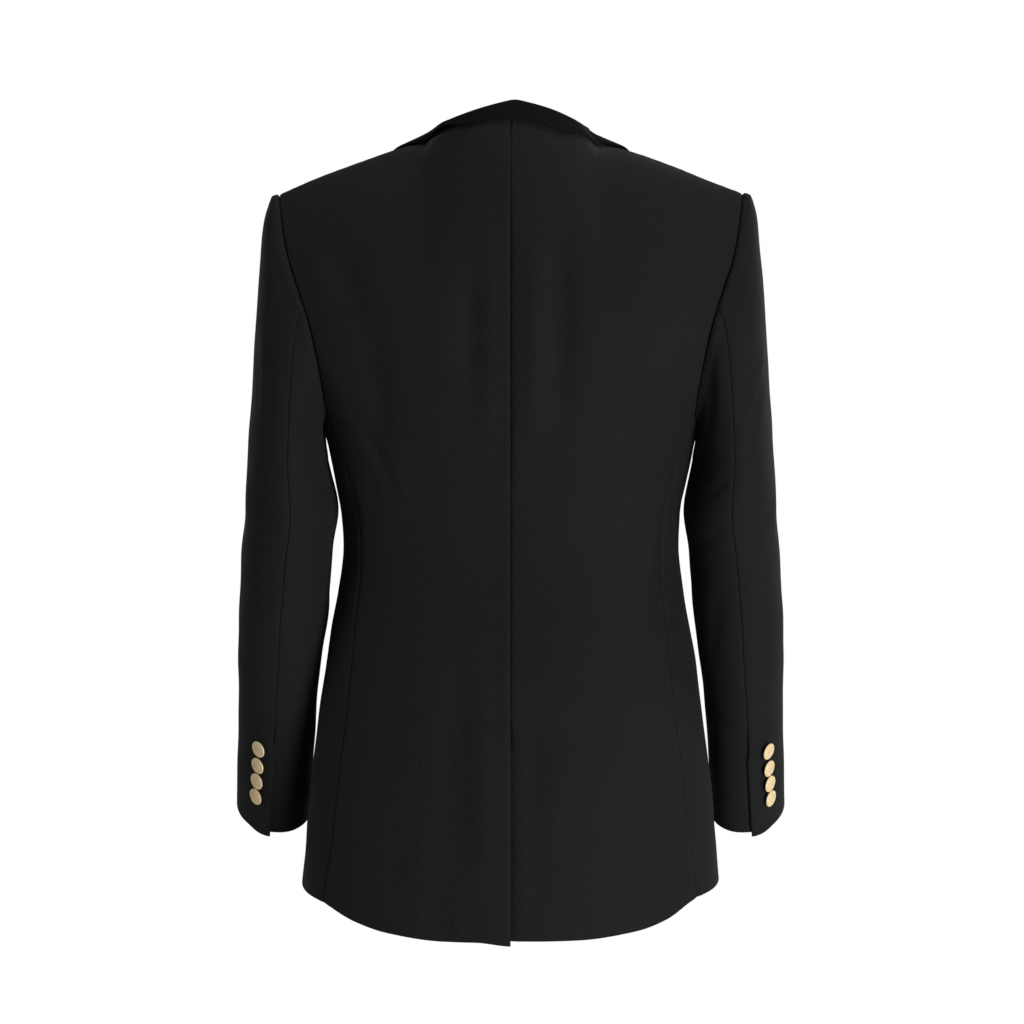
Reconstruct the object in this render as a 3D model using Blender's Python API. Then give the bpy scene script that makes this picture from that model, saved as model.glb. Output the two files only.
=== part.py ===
"""A fitted single-breasted blazer, standing open and empty as if worn.

Metres, +Z up. The back of the garment faces -Y and the wearer's right is +X.
The origin lies in the neck opening, between the neck ends of the shoulder seams.
Every cloth piece is a thin wall: its outer face follows one shared form of the
garment, and its inner face lies one cloth thickness inside it.
"""
from math import atan2, ceil, cos, exp, pi, radians, sin, sqrt, tau

import bmesh
import bpy
from mathutils import Vector

CLOTH = 0.0020          # thickness of a cloth wall
SEAM = 0.0003           # space between two pieces at a seam
LAP = 0.00135           # how far a lapping edge is lifted, and a lapped one sunk
PROBE = 0.0004          # step at which a surface's slope is measured
LEFT, RIGHT = -1, 1     # the wearer's sides, along X
BEHIND, BEFORE = -1, 1  # the faces of the body, along Y

# The body, a row a level: height, half width, depth behind, depth before.
BODY = (
    (-0.720, 0.1870, 0.1270, 0.1180),
    (-0.652, 0.1820, 0.1230, 0.1160),
    (-0.560, 0.1735, 0.1160, 0.1120),
    (-0.494, 0.1650, 0.1040, 0.1060),
    (-0.433, 0.1560, 0.0890, 0.0980),
    (-0.400, 0.1500, 0.0820, 0.0940),
    (-0.359, 0.1450, 0.0770, 0.0930),
    (-0.333, 0.1460, 0.0780, 0.0980),
    (-0.300, 0.1520, 0.0830, 0.1090),
    (-0.262, 0.1600, 0.0910, 0.1180),
    (-0.243, 0.1660, 0.0950, 0.1190),
    (-0.215, 0.1790, 0.0990, 0.1150),
    (-0.168, 0.2040, 0.1010, 0.1030),
    (-0.110, 0.2130, 0.0980, 0.0960),
    (0.060, 0.2160, 0.0940, 0.0930),
)
SQUARE = 2.2            # squareness of the body's sections, 2 for an ellipse
SHOULDER_ROUND = 0.150  # height over which the shoulder rounds over to its ridge

# The shoulder seam, from the neck to the sleeve: distance from the centre, height.
RIDGE = ((0.072, -0.0125), (0.102, -0.0192), (0.150, -0.0368), (0.198, -0.0562), (0.240, -0.0755))
NECK_X, NECK_Z = RIDGE[0]
TIP_X, TIP_Z = RIDGE[3]
NAPE_Z = 0.011          # neck seam at the centre back
NAPE_RISE = 0.065       # the back's ridge rises so far above the neck point at the centre
THROAT_RISE = 0.20      # slope of the front's ridge inside the neck point
NAPE_FLATNESS = 2.2     # how long the back's neck seam stays level before it falls to the neck point

# The armhole from the side seams up to the shoulder tip: height, distance from the centre.
ARM_Z = -0.243
ARM_DIP = 0.019         # how far the armhole dips below its side seams
ARM_BACK = ((-0.243, 0.1570), (-0.215, 0.1605), (-0.190, 0.1645), (-0.165, 0.1700),
            (-0.135, 0.1800), (-0.110, 0.1885), (-0.084, 0.1940), (-0.0562, 0.1980))
ARM_FRONT = ((-0.243, 0.1569), (-0.215, 0.1560), (-0.190, 0.1590), (-0.160, 0.1660),
             (-0.130, 0.1760), (-0.100, 0.1860), (-0.080, 0.1920), (-0.0562, 0.1980))

# The seam between the back and the side piece: height, distance from the centre.
BACK_SEAM = ((-0.720, 0.1660), (-0.650, 0.1595), (-0.600, 0.1520), (-0.550, 0.1470),
             (-0.500, 0.1405), (-0.435, 0.1345), (-0.376, 0.1287), (-0.352, 0.1280),
             (-0.330, 0.1297), (-0.310, 0.1340), (-0.285, 0.1415), (-0.262, 0.1510),
             (-0.243, 0.1570))
HEM_SEAM_X = BACK_SEAM[1][1]
FRONT_SEAM_TURN = radians(106)  # where the front meets the side piece, round from the centre back

# The hem, round from the centre back: degrees, height on the left, height on the right.
HEM = (
    (0, -0.6808, -0.6802), (25, -0.6810, -0.6800), (45, -0.6765, -0.6755),
    (55, -0.6705, -0.6688), (65, -0.6610, -0.6565), (75, -0.6535, -0.6485),
    (90, -0.6500, -0.6455), (112, -0.6500, -0.6470), (180, -0.6560, -0.6560),
)
CORNER = 0.080          # radius of the fronts' rounded lower corners
CORNER_LEVEL = 0.34     # share of the way up to the armhole at which their rounding has died out

# The front's open edge: below the break it runs straight down past the centre.
BREAK_Z = -0.330        # where the lapels start to turn back
GORGE_X, GORGE_Z = 0.061, -0.050    # where collar and lapel meet on the roll line
OVERLAP = 0.018         # how far each front reaches past the centre
THROAT_BEND = 1.4       # how much the front's neck edge bends between neck point and gorge
LAP_FADE = 0.060        # distance from the centre at which a lapping front or vent has come down
FRONT_LAP_Z = (-0.180, -0.262)      # heights between which the fronts start to lap
VENT_Z = -0.4906        # top of the centre back vent
VENT_LAP = 0.035        # width of the hidden part of the vent
VENT_FADE = 0.022       # height over which the vent's panels come apart
VENT_LAP_TOP = 0.030    # how far below the vent's top its hidden part ends
VENT_SINK = (0.030, 0.004)          # distances between which the lapped panel sinks
VENT_DROP = 0.003       # how far the lapping panel's corner hangs below the hem

FOLD_END = 0.25         # share of a fold's length over which it dies out, both ways from its end

# Folds, as wide as they are soft: side of the body, x and z of both ends, width, height.
FOLDS = (
    (BEHIND, -0.145, -0.105, -0.118, -0.178, 0.0120, -0.0028),
    (BEHIND, -0.118, -0.178, -0.108, -0.262, 0.0100, -0.0030),
    (BEHIND, -0.167, -0.100, -0.141, -0.235, 0.0090, 0.0015),
    (BEHIND, -0.033, -0.135, -0.033, -0.204, 0.0090, -0.0015),
    (BEHIND, -0.009, -0.090, -0.010, -0.250, 0.0080, 0.0012),
    (BEHIND, 0.006, -0.095, 0.006, -0.230, 0.0070, -0.0018),
    (BEHIND, 0.022, -0.095, 0.020, -0.250, 0.0090, 0.0012),
    (BEHIND, 0.046, -0.095, 0.046, -0.235, 0.0120, -0.0018),
    (BEHIND, 0.160, -0.125, 0.146, -0.196, 0.0120, -0.0022),
    (BEHIND, -0.147, -0.246, -0.100, -0.298, 0.0055, -0.0026),
    (BEHIND, 0.132, -0.288, 0.114, -0.309, 0.0055, -0.0022),
    (BEHIND, -0.046, -0.465, -0.046, -0.625, 0.0140, -0.0030),
    (BEHIND, -0.021, -0.480, -0.022, -0.635, 0.0110, 0.0018),
    (BEHIND, 0.020, -0.490, 0.022, -0.640, 0.0110, -0.0018),
    (BEFORE, -0.120, -0.235, -0.085, -0.310, 0.0130, -0.0025),
    (BEFORE, 0.116, -0.228, 0.088, -0.300, 0.0140, -0.0022),
    (BEFORE, -0.085, -0.390, -0.118, -0.350, 0.0080, -0.0018),
    (BEFORE, 0.070, -0.365, 0.118, -0.345, 0.0080, -0.0020),
    (BEFORE, -0.075, -0.480, -0.080, -0.600, 0.0160, -0.0025),
    (BEFORE, 0.082, -0.490, 0.086, -0.610, 0.0150, -0.0022),
)

# The sleeve, a row a level: height, centre out, centre forward, half width, half depth,
# degrees of forward lean, turn, back seam and front seam.
SLEEVE = (
    (-0.6000, 0.2108, 0.0590, 0.0324, 0.0465, 20, 14, 294, 128),
    (-0.5500, 0.2078, 0.0435, 0.0330, 0.0475, 19, 12, 289, 128),
    (-0.4910, 0.2042, 0.0265, 0.0345, 0.0495, 17, 8, 281, 129),
    (-0.4500, 0.2006, 0.0155, 0.0372, 0.0515, 13, 4, 275, 130),
    (-0.4070, 0.1966, 0.0060, 0.0394, 0.0545, 8, 0, 270, 130),
    (-0.3630, 0.1934, 0.0010, 0.0394, 0.0570, 4, 0, 268, 130),
    (-0.3280, 0.1894, -0.0010, 0.0400, 0.0600, 2, 0, 267, 130),
    (-0.2850, 0.1923, 0.0000, 0.0350, 0.0640, 0, 0, 265, 130),
)
SLEEVE_TOP_Z = SLEEVE[-1][0]
CAP_OUT = 0.0150            # reach of the cap's curve out of the armhole, at the shoulder
CAP_LOW = 0.28              # share of that reach at the armhole's foot
CAP_WAY = (0.35, 0.060, 0.10, 0.12)     # its way: turn fore and aft at a depth, rise low and more high
CAP_CLEAR = 0.08            # least part of that way which leads out of the body
CAP_TUCK = 0.07             # how far the cap's foot leans in under the shoulder
CAP_FALL = (0.50, 0.94)     # share of the cap's height over which it hangs straight, low and high
CUFF_VENT_Z = -0.4984       # top of the cuff's vent
CUFF_VENT_LAP = 0.0020      # how far the upper sleeve laps the under sleeve there
CUFF_VENT_FADE = 0.020      # height over which the cuff's edges come apart, then start to lap
CUFF_VENT_COLUMNS = (3.2, 0.6)      # columns from the vent between which its edges come apart

# The collar, a row a station from the nape to the gorge: share of the neck edge, x, y and z of
# the roll line, then x and y of the fall's edge where it lies on the body.
COLLAR = (
    (-0.06, -0.0110, -0.0613, 0.0215, -0.0130, -0.0698),
    (0.00, 0.0000, -0.0620, 0.0236, 0.0000, -0.0705),
    (0.06, 0.0110, -0.0613, 0.0215, 0.0130, -0.0698),
    (0.17, 0.0310, -0.0550, 0.0158, 0.0365, -0.0641),
    (0.31, 0.0510, -0.0410, 0.0072, 0.0610, -0.0470),
    (0.45, 0.0640, -0.0210, 0.0000, 0.0860, -0.0272),
    (0.69, 0.0675, 0.0120, -0.0050, 0.1050, 0.0150),
    (0.87, 0.0655, 0.0400, -0.0200, 0.1110, 0.0400),
    (1.00, 0.0600, 0.0635, -0.0450, 0.1060, 0.0597),
)
COLLAR_SWAY = 0.0034    # how far the roll line sits towards the right at the nape
SWAY_SHARES = (0.8, 0.1)    # shares of the neck edge between which it comes to sit so
COLLAR_PARTS = (0.6, 0.35, 0.70)    # places of its points on the stand, and two on the fall
COLLAR_PROBE = 0.02     # share of the neck edge over which the roll line's way is measured
COLLAR_ROLL = 0.00275   # radius of the roll at the collar's top
REST = 0.0010           # space under a piece that lies on another
NECK_GAP = 0.0009       # space between the neck edge and the collar, as the walls twist there
GORGE_GAP = 0.0010      # space of collar and lapel from the line on which they are sewn
COLLAR_STEP = 0.010     # widest space between two columns of its points
GORGE_SHARE = 0.45      # share of the collar's end that is sewn to the lapel

# The lapel's outer edge, from the break to the gorge: share of the way, x, height.
LAPEL = (
    (0.00, -0.0100, -0.3310), (0.15, 0.0050, -0.3080), (0.35, 0.0420, -0.2600),
    (0.60, 0.0830, -0.1920), (0.80, 0.1080, -0.1400), (1.00, 0.1220, -0.0860),
)
# Across the lapel at its roll: distance and lift of its outer face, then of its inner face.
LAPEL_ROLL = ((-0.0023, -0.0008, -0.0003, -0.0008), (-0.0021, 0.0026, -0.0003, 0.0008),
              (0.0012, 0.0048, 0.0014, 0.0026))
LAPEL_COLUMNS = ((0.22, 0.0049), (0.48, 0.0040), (0.75, 0.0034), (1.00, 0.0031))
LAPEL_ROWS = 12
LEFT_FOOT = (0.28, 0.20)    # shares at which the left lapel starts, on its roll and on its edge

BUTTON = 0.0075             # radius of a cuff button
FRONT_BUTTON = 0.0100       # radius of a front button


def curve(rows, at, column=1):
    """Smooth value of one column of a table, whose rows run up in their first column."""
    if at <= rows[0][0]:
        return rows[0][column]
    if at >= rows[-1][0]:
        return rows[-1][column]
    i = max(k for k in range(len(rows) - 1) if rows[k][0] <= at)

    def rate(k):
        return (rows[k + 1][column] - rows[k][column]) / (rows[k + 1][0] - rows[k][0])

    def slope(k):
        if k == 0 or k == len(rows) - 1:
            return rate(min(k, len(rows) - 2))
        before, after = rate(k - 1), rate(k)
        return 2 * before * after / (before + after) if before * after > 0 else 0.0

    step = rows[i + 1][0] - rows[i][0]
    t = (at - rows[i][0]) / step
    rise = rows[i + 1][column] - rows[i][column]
    a, b = slope(i) * step, slope(i + 1) * step
    return rows[i][column] + t * (a + t * (3 * rise - 2 * a - b + t * (a + b - 2 * rise)))


def ease(low, high, at):
    """Soft step from 0 at low to 1 at high."""
    t = min(1.0, max(0.0, (at - low) / (high - low)))
    return t * t * (3 - 2 * t)


def mix(a, b, share):
    return a + (b - a) * share


# ---- the form of the body -------------------------------------------------------------

def ridge(x, face):
    """Height at which the shoulder would round over, at a distance from the centre."""
    x = abs(x)
    if x >= NECK_X:
        return curve(RIDGE, x)
    if face == BEHIND:
        return NECK_Z + NAPE_RISE * (1 - (x / NECK_X) ** 2)
    return NECK_Z + THROAT_RISE * (NECK_X - x)


def depth(x, z, face):
    """Depth of the body at a point, before the shoulder's rounding."""
    inside = max(0.0, 1 - (abs(x) / curve(BODY, z, 1)) ** SQUARE)
    return curve(BODY, z, 2 if face == BEHIND else 3) * inside ** (1 / SQUARE)


def on_face(x, z, face):
    """Point of the form on its back or front, at a distance from the centre and a height."""
    below = (ridge(x, face) - z) / SHOULDER_ROUND
    if below <= 0:
        return Vector((x, face * SEAM / 2, ridge(x, face)))
    under = min(1.0, below)
    return Vector((x, face * max(SEAM / 2, depth(x, z, face) * sqrt(1 - (1 - under) ** 2)), z))


def around(turn, z):
    """Point of the form at an angle round from the centre back."""
    deep = curve(BODY, z, 2 if cos(turn) > 0 else 3)
    across = abs(sin(turn) / curve(BODY, z, 1)) ** SQUARE
    reach = (across + abs(cos(turn) / deep) ** SQUARE) ** (-1 / SQUARE)
    return Vector((reach * sin(turn), -reach * cos(turn), z))


def hollow(x, y, z, face):
    """Below 0 inside the form, above 0 outside, and smooth over its surface."""
    below = (ridge(x, face) - z) / SHOULDER_ROUND
    if below < 1:
        return (y / depth(x, z, face)) ** 2 + (1 - below) ** 2 - 1
    deep = curve(BODY, z, 2 if face == BEHIND else 3)
    return (abs(x) / curve(BODY, z, 1)) ** SQUARE + (abs(y) / deep) ** SQUARE - 1


def slope(point, face):
    """Way in which the hollow's value grows at a point, and how fast."""
    x, y, z = point
    e = PROBE
    return Vector((hollow(x + e, y, z, face) - hollow(x - e, y, z, face),
                   hollow(x, y + e, z, face) - hollow(x, y - e, z, face),
                   hollow(x, y, z + e, face) - hollow(x, y, z - e, face))) / (2 * e)


def normal(point, face):
    """Outward direction of the form at one of its points."""
    return slope(point, face).normalized()


def on_shoulder(x, y):
    """Point of the rounded shoulder at a place seen from above."""
    face = BEHIND if y < 0 else BEFORE
    z = ridge(x, face)
    for _ in range(4):
        under = 1 - sqrt(1 - min(1.0, abs(y) / depth(x, z, face)) ** 2)
        z = ridge(x, face) - SHOULDER_ROUND * under
    return Vector((x, y, z))


def fold(point, face):
    """Height of the folds at a point of the form."""
    height = 0.0
    for side, x0, z0, x1, z1, width, rise in FOLDS:
        if side != face:
            continue
        long_x, long_z = x1 - x0, z1 - z0
        share = ((point.x - x0) * long_x + (point.z - z0) * long_z) / (long_x ** 2 + long_z ** 2)
        off_x = point.x - x0 - share * long_x
        off_z = point.z - z0 - share * long_z
        ends = ease(-FOLD_END, FOLD_END, share) * ease(1 + FOLD_END, 1 - FOLD_END, share)
        height += rise * ends * exp(-(off_x ** 2 + off_z ** 2) / width ** 2)
    return height


def skin(point, face, lift=0.0):
    """Outer and inner point of a cloth wall at a point of the form."""
    out = normal(point, face)
    outer = point + out * (fold(point, face) + lift)
    return outer, outer - out * CLOTH


def body_point(side, x, z, face, lift=0.0):
    """Outer point of the cloth on one side's back or front, moved out by a lift."""
    point = on_face(side * x, z, face)
    return point + normal(point, face) * (fold(point, face) + lift)


# ---- walls ----------------------------------------------------------------------------

def add_mesh(name, build, material):
    """Make an object from a function that fills a bmesh."""
    mesh = bpy.data.meshes.new(name)
    shape = bmesh.new()
    build(shape)
    bmesh.ops.recalc_face_normals(shape, faces=shape.faces)
    shape.to_mesh(mesh)
    shape.free()
    mesh.materials.append(material)
    made = bpy.data.objects.new(name, mesh)
    bpy.context.collection.objects.link(made)
    return made


def wall(name, outer, inner, material, skip=()):
    """Closed wall between two matching grids of points, less the cells named in skip."""

    def build(shape):
        used = [(r, c) for r in range(len(outer) - 1) for c in range(len(outer[0]) - 1)
                if (r, c) not in skip]
        corners = {(r + i, c + j) for r, c in used for i in (0, 1) for j in (0, 1)}
        over = {key: shape.verts.new(outer[key[0]][key[1]]) for key in sorted(corners)}
        under = {key: shape.verts.new(inner[key[0]][key[1]]) for key in sorted(corners)}
        edges = {}
        for r, c in used:
            ring = [(r, c), (r, c + 1), (r + 1, c + 1), (r + 1, c)]
            shape.faces.new([over[key] for key in ring])
            shape.faces.new([under[key] for key in reversed(ring)])
            for a, b in zip(ring, ring[1:] + ring[:1]):
                if (b, a) in edges:
                    del edges[(b, a)]
                else:
                    edges[(a, b)] = True
        for a, b in edges:
            shape.faces.new([over[b], over[a], under[a], under[b]])

    return add_mesh(name, build, material)


def grid(rows, columns, place):
    """Outer and inner grids of a wall, from a place function of row and column."""
    pairs = [[place(r, c) for c in columns] for r in rows]
    return [[pair[0] for pair in row] for row in pairs], [[pair[1] for pair in row] for row in pairs]


# ---- body pieces ----------------------------------------------------------------------

LOWER = (0, 0.08, 0.16, 0.25, 0.34, 0.43, 0.52, 0.60, 0.67, 0.74, 0.81, 0.87, 0.93)   # hem up
UPPER = (0, 0.12, 0.24, 0.36, 0.48, 0.60, 0.72, 0.843, 0.91, 0.965, 0.992, 1)   # armhole up
GORGE_LEVEL = 7         # the upper level at which collar and lapel meet
LEVELS = [(share, False) for share in LOWER] + [(share, True) for share in UPPER]
BACK_COLUMNS = (0.002, 0.012, 0.024, 0.036, 0.048, 0.060, 0.072, 0.095, 0.120, 0.145, 0.172, 0.198)
FRONT_COLUMNS = (0, 0.02, 0.055, 0.11, 0.20, 0.30, 0.41, 0.53, 0.65, 0.77, 0.89, 1)
SIDE_COLUMNS = (0, 0.2, 0.4, 0.6, 0.8, 1)


def hem_height(side, turn):
    """Height of the hem on one side, at an angle round from the centre back."""
    return curve(HEM, turn * 180 / pi, 1 if side == LEFT else 2)


def back_hem(side, x):
    """Height of the back's hem at a distance from the centre."""
    point = on_face(x, HEM[3][1], BEHIND)
    return hem_height(side, atan2(point.x, -point.y))


def top_height(x):
    """Height of the back's top edge: the neck seam, then the shoulder seam."""
    if x >= NECK_X:
        return ridge(x, BEHIND)
    return NAPE_Z - (NAPE_Z - NECK_Z) * (x / NECK_X) ** NAPE_FLATNESS


def level_height(level, hem, top):
    """Height of a level on a grain line that runs from a hem to a top edge."""
    share, upper = level
    return mix(ARM_Z, top, share) if upper else mix(hem, ARM_Z, share)


def seam_turn(z):
    """Angle round from the centre back of the seam between the back and the side piece."""
    point = on_face(curve(BACK_SEAM, z), z, BEHIND)
    return atan2(point.x, -point.y)


def vent_lift(side, x, z):
    """The left back laps over the right one along the vent."""
    below = ease(VENT_Z, VENT_Z - VENT_FADE, z)
    if side == LEFT:
        return LAP * ease(LAP_FADE, VENT_LAP + 0.003, x) * below
    return -LAP * ease(*VENT_SINK, x) * below


def back_point(side, level, column):
    """Place of a back piece at a level and a column; columns below 0 are the vent's lap."""
    edge_z = level_height(level, back_hem(side, HEM_SEAM_X), TIP_Z)
    edge_x = curve(ARM_BACK, edge_z)
    if not level[1] or level[0] == 0:
        edge_x = curve(BACK_SEAM, edge_z) - SEAM / 2
    share = max(column, 0.0) / TIP_X
    x = share * edge_x
    if column <= BACK_COLUMNS[0]:
        x = SEAM / 2 if column >= 0 else column
    z = level_height(level, back_hem(side, share * HEM_SEAM_X), top_height(max(column, 0.0)))
    if side == LEFT and level == LEVELS[0]:
        z -= VENT_DROP * ease(VENT_SINK[0], 0.0, x)
    point = on_face(side * x, z, BEHIND)
    return skin(point, BEHIND, vent_lift(side, x, z))


def make_back(side, material):
    """Half of the back, from the centre seam to the side piece and the armhole."""
    columns = BACK_COLUMNS
    skip = set()
    if side == RIGHT:
        columns = (-VENT_LAP, -VENT_LAP / 2) + BACK_COLUMNS
        top = sum(1 for share in LOWER[1:] if mix(back_hem(side, 0), ARM_Z, share) < VENT_Z - VENT_LAP_TOP)
        skip = {(r, c) for r in range(top, len(LEVELS)) for c in (0, 1)}
    outer, inner = grid(LEVELS, columns, lambda level, column: back_point(side, level, column))
    wall("back_left" if side == LEFT else "back_right", outer, inner, material, skip)
    return outer, inner


def side_point(side, level, share):
    """Place of a side piece, between the back's and the front's side seams."""
    back_z = level_height(level, back_hem(side, HEM_SEAM_X), ARM_Z)
    start = seam_turn(back_z) + SEAM / 2 / curve(BODY, back_z)
    stop = FRONT_SEAM_TURN - SEAM / 2 / curve(BODY, back_z)
    turn = mix(start, stop, share)
    hem = mix(back_hem(side, HEM_SEAM_X), hem_height(side, FRONT_SEAM_TURN), share)
    dip = ARM_DIP * (1 - (2 * share - 1) ** 2)
    z = mix(hem, ARM_Z - dip, level[0] if not level[1] else 1.0)
    point = around(turn, z)
    point.x *= side
    return skin(point, BEHIND if point.y < 0 else BEFORE)


def make_side(side, material):
    """The narrow piece under the arm."""
    levels = LEVELS[:len(LOWER) + 1]
    outer, inner = grid(levels, SIDE_COLUMNS, lambda level, share: side_point(side, level, share))
    wall("side_left" if side == LEFT else "side_right", outer, inner, material)
    return outer, inner


def open_edge(z):
    """Distance from the centre of a front's open edge, beyond the centre below the break."""
    if z > GORGE_Z:
        return mix(NECK_X, GORGE_X, ((NECK_Z - z) / (NECK_Z - GORGE_Z)) ** THROAT_BEND)
    return mix(-OVERLAP, GORGE_X, max(0.0, (z - BREAK_Z) / (GORGE_Z - BREAK_Z)))


def front_point(side, level, share):
    """Place of a front, from its open edge to the side seam, armhole and shoulder seam."""
    seam_hem = hem_height(side, FRONT_SEAM_TURN)
    inner_z = level_height(level, seam_hem, NECK_Z)
    outer_z = level_height(level, seam_hem, TIP_Z)
    if level[1] and level[0] > 0:
        reach = curve(ARM_FRONT, outer_z)
    else:
        reach = around(FRONT_SEAM_TURN + SEAM / 2 / curve(BODY, outer_z), outer_z).x
    if level == LEVELS[-1]:
        inner_z, outer_z = NECK_Z, TIP_Z
    start = open_edge(inner_z)
    x = mix(start, reach, share)
    hem = mix(hem_height(side, pi), seam_hem, max(0.0, 2 * share - 1))
    z = level_height(level, hem, ridge(mix(NECK_X, TIP_X, share), BEFORE))
    if not level[1]:
        within = min(1.0, (x - start) / CORNER)
        z += CORNER * (1 - sqrt(1 - (1 - within) ** 2)) * max(0.0, 1 - level[0] / CORNER_LEVEL)
    point = on_face(side * x, z, BEFORE)
    return skin(point, BEFORE, front_lift(side, x, z))


def make_front(side, material):
    """A front; its lapel is a piece of its own that lies on it."""
    outer, inner = grid(LEVELS, FRONT_COLUMNS, lambda level, share: front_point(side, level, share))
    made = wall("front_left" if side == LEFT else "front_right", outer, inner, material)
    return made, (outer, inner)


# ---- sleeves --------------------------------------------------------------------------

CAP = (0, 0.07, 0.16, 0.28, 0.42, 0.58, 0.78, 1)
TUBE = tuple(mix(SLEEVE[-1][0], SLEEVE[0][0], k / 11) for k in range(1, 12))
BACK_START = 4                      # armhole vertex at which the sleeve's back seam starts
FRONT_START = 2 * len(UPPER) - 3    # and its front seam

# Creases of the sleeves: side, height, degrees round, width up, width round, rise.
SLEEVE_FOLDS = (
    (LEFT, -0.305, 235, 0.012, 40, -0.0016), (LEFT, -0.378, 250, 0.010, 45, -0.0014),
    (RIGHT, -0.300, 238, 0.012, 40, -0.0014), (RIGHT, -0.368, 248, 0.011, 45, -0.0014),
    (LEFT, -0.400, 110, 0.011, 50, -0.0026), (RIGHT, -0.392, 112, 0.011, 50, -0.0026),
    (LEFT, -0.440, 95, 0.010, 40, -0.0018), (RIGHT, -0.434, 100, 0.010, 42, -0.0016),
)


def sleeve_ring(side, z, turn):
    """Outer point of the sleeve below its cap, at a level and an angle in degrees."""
    out, forward, half_width, half_depth, lean, twist = (curve(SLEEVE, z, k) for k in range(1, 7))
    angle, twist, lean = radians(turn), radians(twist), radians(lean)
    a, b = half_width * cos(angle), half_depth * sin(angle)
    x = out + a * cos(twist) + b * sin(twist)
    y = b * cos(twist) - a * sin(twist)
    return Vector((side * x, forward + y * cos(lean), z + y * sin(lean)))


def edge_frame(outer, inner, before):
    """An edge vertex of a wall: its outer point, its way on and its way out."""
    out = (outer - inner).normalized()
    on = outer - before
    on = (on - out * on.dot(out)).normalized()
    return outer, on, out


def column_frames(grids, index, rows):
    outer, inner = grids
    step = 1 if index == 0 else -1
    return [edge_frame(outer[r][index], inner[r][index], outer[r][index + step]) for r in rows]


def joined(a, b):
    """The shared vertex of two walls that meet at a seam."""
    return (a[0] + b[0]) / 2, (a[1] + b[1]).normalized(), (a[2] + b[2]).normalized()


def armhole(back, front, low):
    """The armhole's vertices: up the back, over the shoulder, down the front and under."""
    first = len(LOWER)
    up = column_frames(back, -1, range(first, first + len(UPPER)))
    down = column_frames(front, -1, range(first + len(UPPER) - 1, first - 1, -1))
    outer, inner = low
    under = [edge_frame(outer[-1][c], inner[-1][c], outer[-2][c])
             for c in range(len(SIDE_COLUMNS) - 1, -1, -1)]
    return ([joined(up[0], under[-1])] + up[1:-1] + [joined(up[-1], down[0])]
            + down[1:-1] + [joined(down[-1], under[0])] + under[1:-1])


def lengths(points):
    """Share of the way along a line of points, at each of them."""
    total = [0.0]
    for a, b in zip(points, points[1:]):
        total.append(total[-1] + (b - a).length)
    return [length / total[-1] for length in total]


def ring_shares(loop):
    """For each armhole vertex: whether it is in the upper sleeve, and its share of it."""
    points = [frame[0] for frame in loop]
    upper = lengths(points[BACK_START:FRONT_START + 1])
    lower = lengths(points[FRONT_START:] + points[:BACK_START + 1])
    shares = [None] * len(loop)
    for k, share in enumerate(upper):
        shares[BACK_START + k] = (True, share)
    for k, share in enumerate(lower[1:-1], 1):
        shares[(FRONT_START + k) % len(loop)] = (False, share)
    return shares


def ring_turn(z, upper, share):
    """Angle round the sleeve of a share of its upper or under half."""
    back, front = curve(SLEEVE, z, 7), curve(SLEEVE, z, 8)
    return mix(back, front + 360, share) if upper else mix(front, back, share)


def cap_point(side, frame, turn, share):
    """Point of the cap, from the armhole out and down to the sleeve's first ring."""
    place, on, out = frame
    start = place + on * SEAM
    end = sleeve_ring(side, SLEEVE_TOP_Z, turn)
    rise = (place.z - ARM_Z + ARM_DIP) / (TIP_Z - ARM_Z + ARM_DIP)
    turn_out, at_depth, up_low, up_high = CAP_WAY
    way = Vector((side, turn_out * place.y / at_depth, up_low + up_high * rise)).normalized()
    if way.dot(on) < CAP_CLEAR:
        way = (way + on * (CAP_CLEAR - way.dot(on))).normalized()
    fall = start.z - end.z
    first = start + way * CAP_OUT * mix(CAP_LOW, 1, rise)
    last = end + Vector((-side * CAP_TUCK * rise, 0, 1)) * fall * mix(*CAP_FALL, rise * rise)
    t, s = share, 1 - share
    return s ** 3 * start + 3 * s * s * t * first + 3 * s * t * t * last + t ** 3 * end


def sleeve_grid(side, loop):
    """Rings of outer points from the armhole to the cuff, and the way out at each."""
    shares = ring_shares(loop)
    rings = [[cap_point(side, frame, ring_turn(SLEEVE_TOP_Z, *shares[j]), share)
              for j, frame in enumerate(loop)] for share in CAP]
    rings += [[sleeve_ring(side, z, ring_turn(z, *share)) for share in shares] for z in TUBE]
    turns = [(z, [ring_turn(z, *share) % 360 for share in shares]) for z in TUBE]
    count = len(loop)
    ways = []
    for i in range(len(rings)):
        above, below = rings[max(i - 1, 0)], rings[min(i + 1, len(rings) - 1)]
        row = []
        for j in range(count):
            round_way = rings[i][(j + 1) % count] - rings[i][j - 1]
            row.append((below[j] - above[j]).cross(round_way).normalized() * side)
        ways.append(row)
    for k, (z, ring) in enumerate(turns):
        for j in range(count):
            rise = 0.0
            for fold_side, level, turn, high, wide, height in SLEEVE_FOLDS:
                if fold_side == side:
                    rise += height * exp(-((z - level) / high) ** 2 - ((ring[j] - turn) / wide) ** 2)
            rings[len(CAP) + k][j] = rings[len(CAP) + k][j] + ways[len(CAP) + k][j] * rise
    return rings, ways


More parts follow.
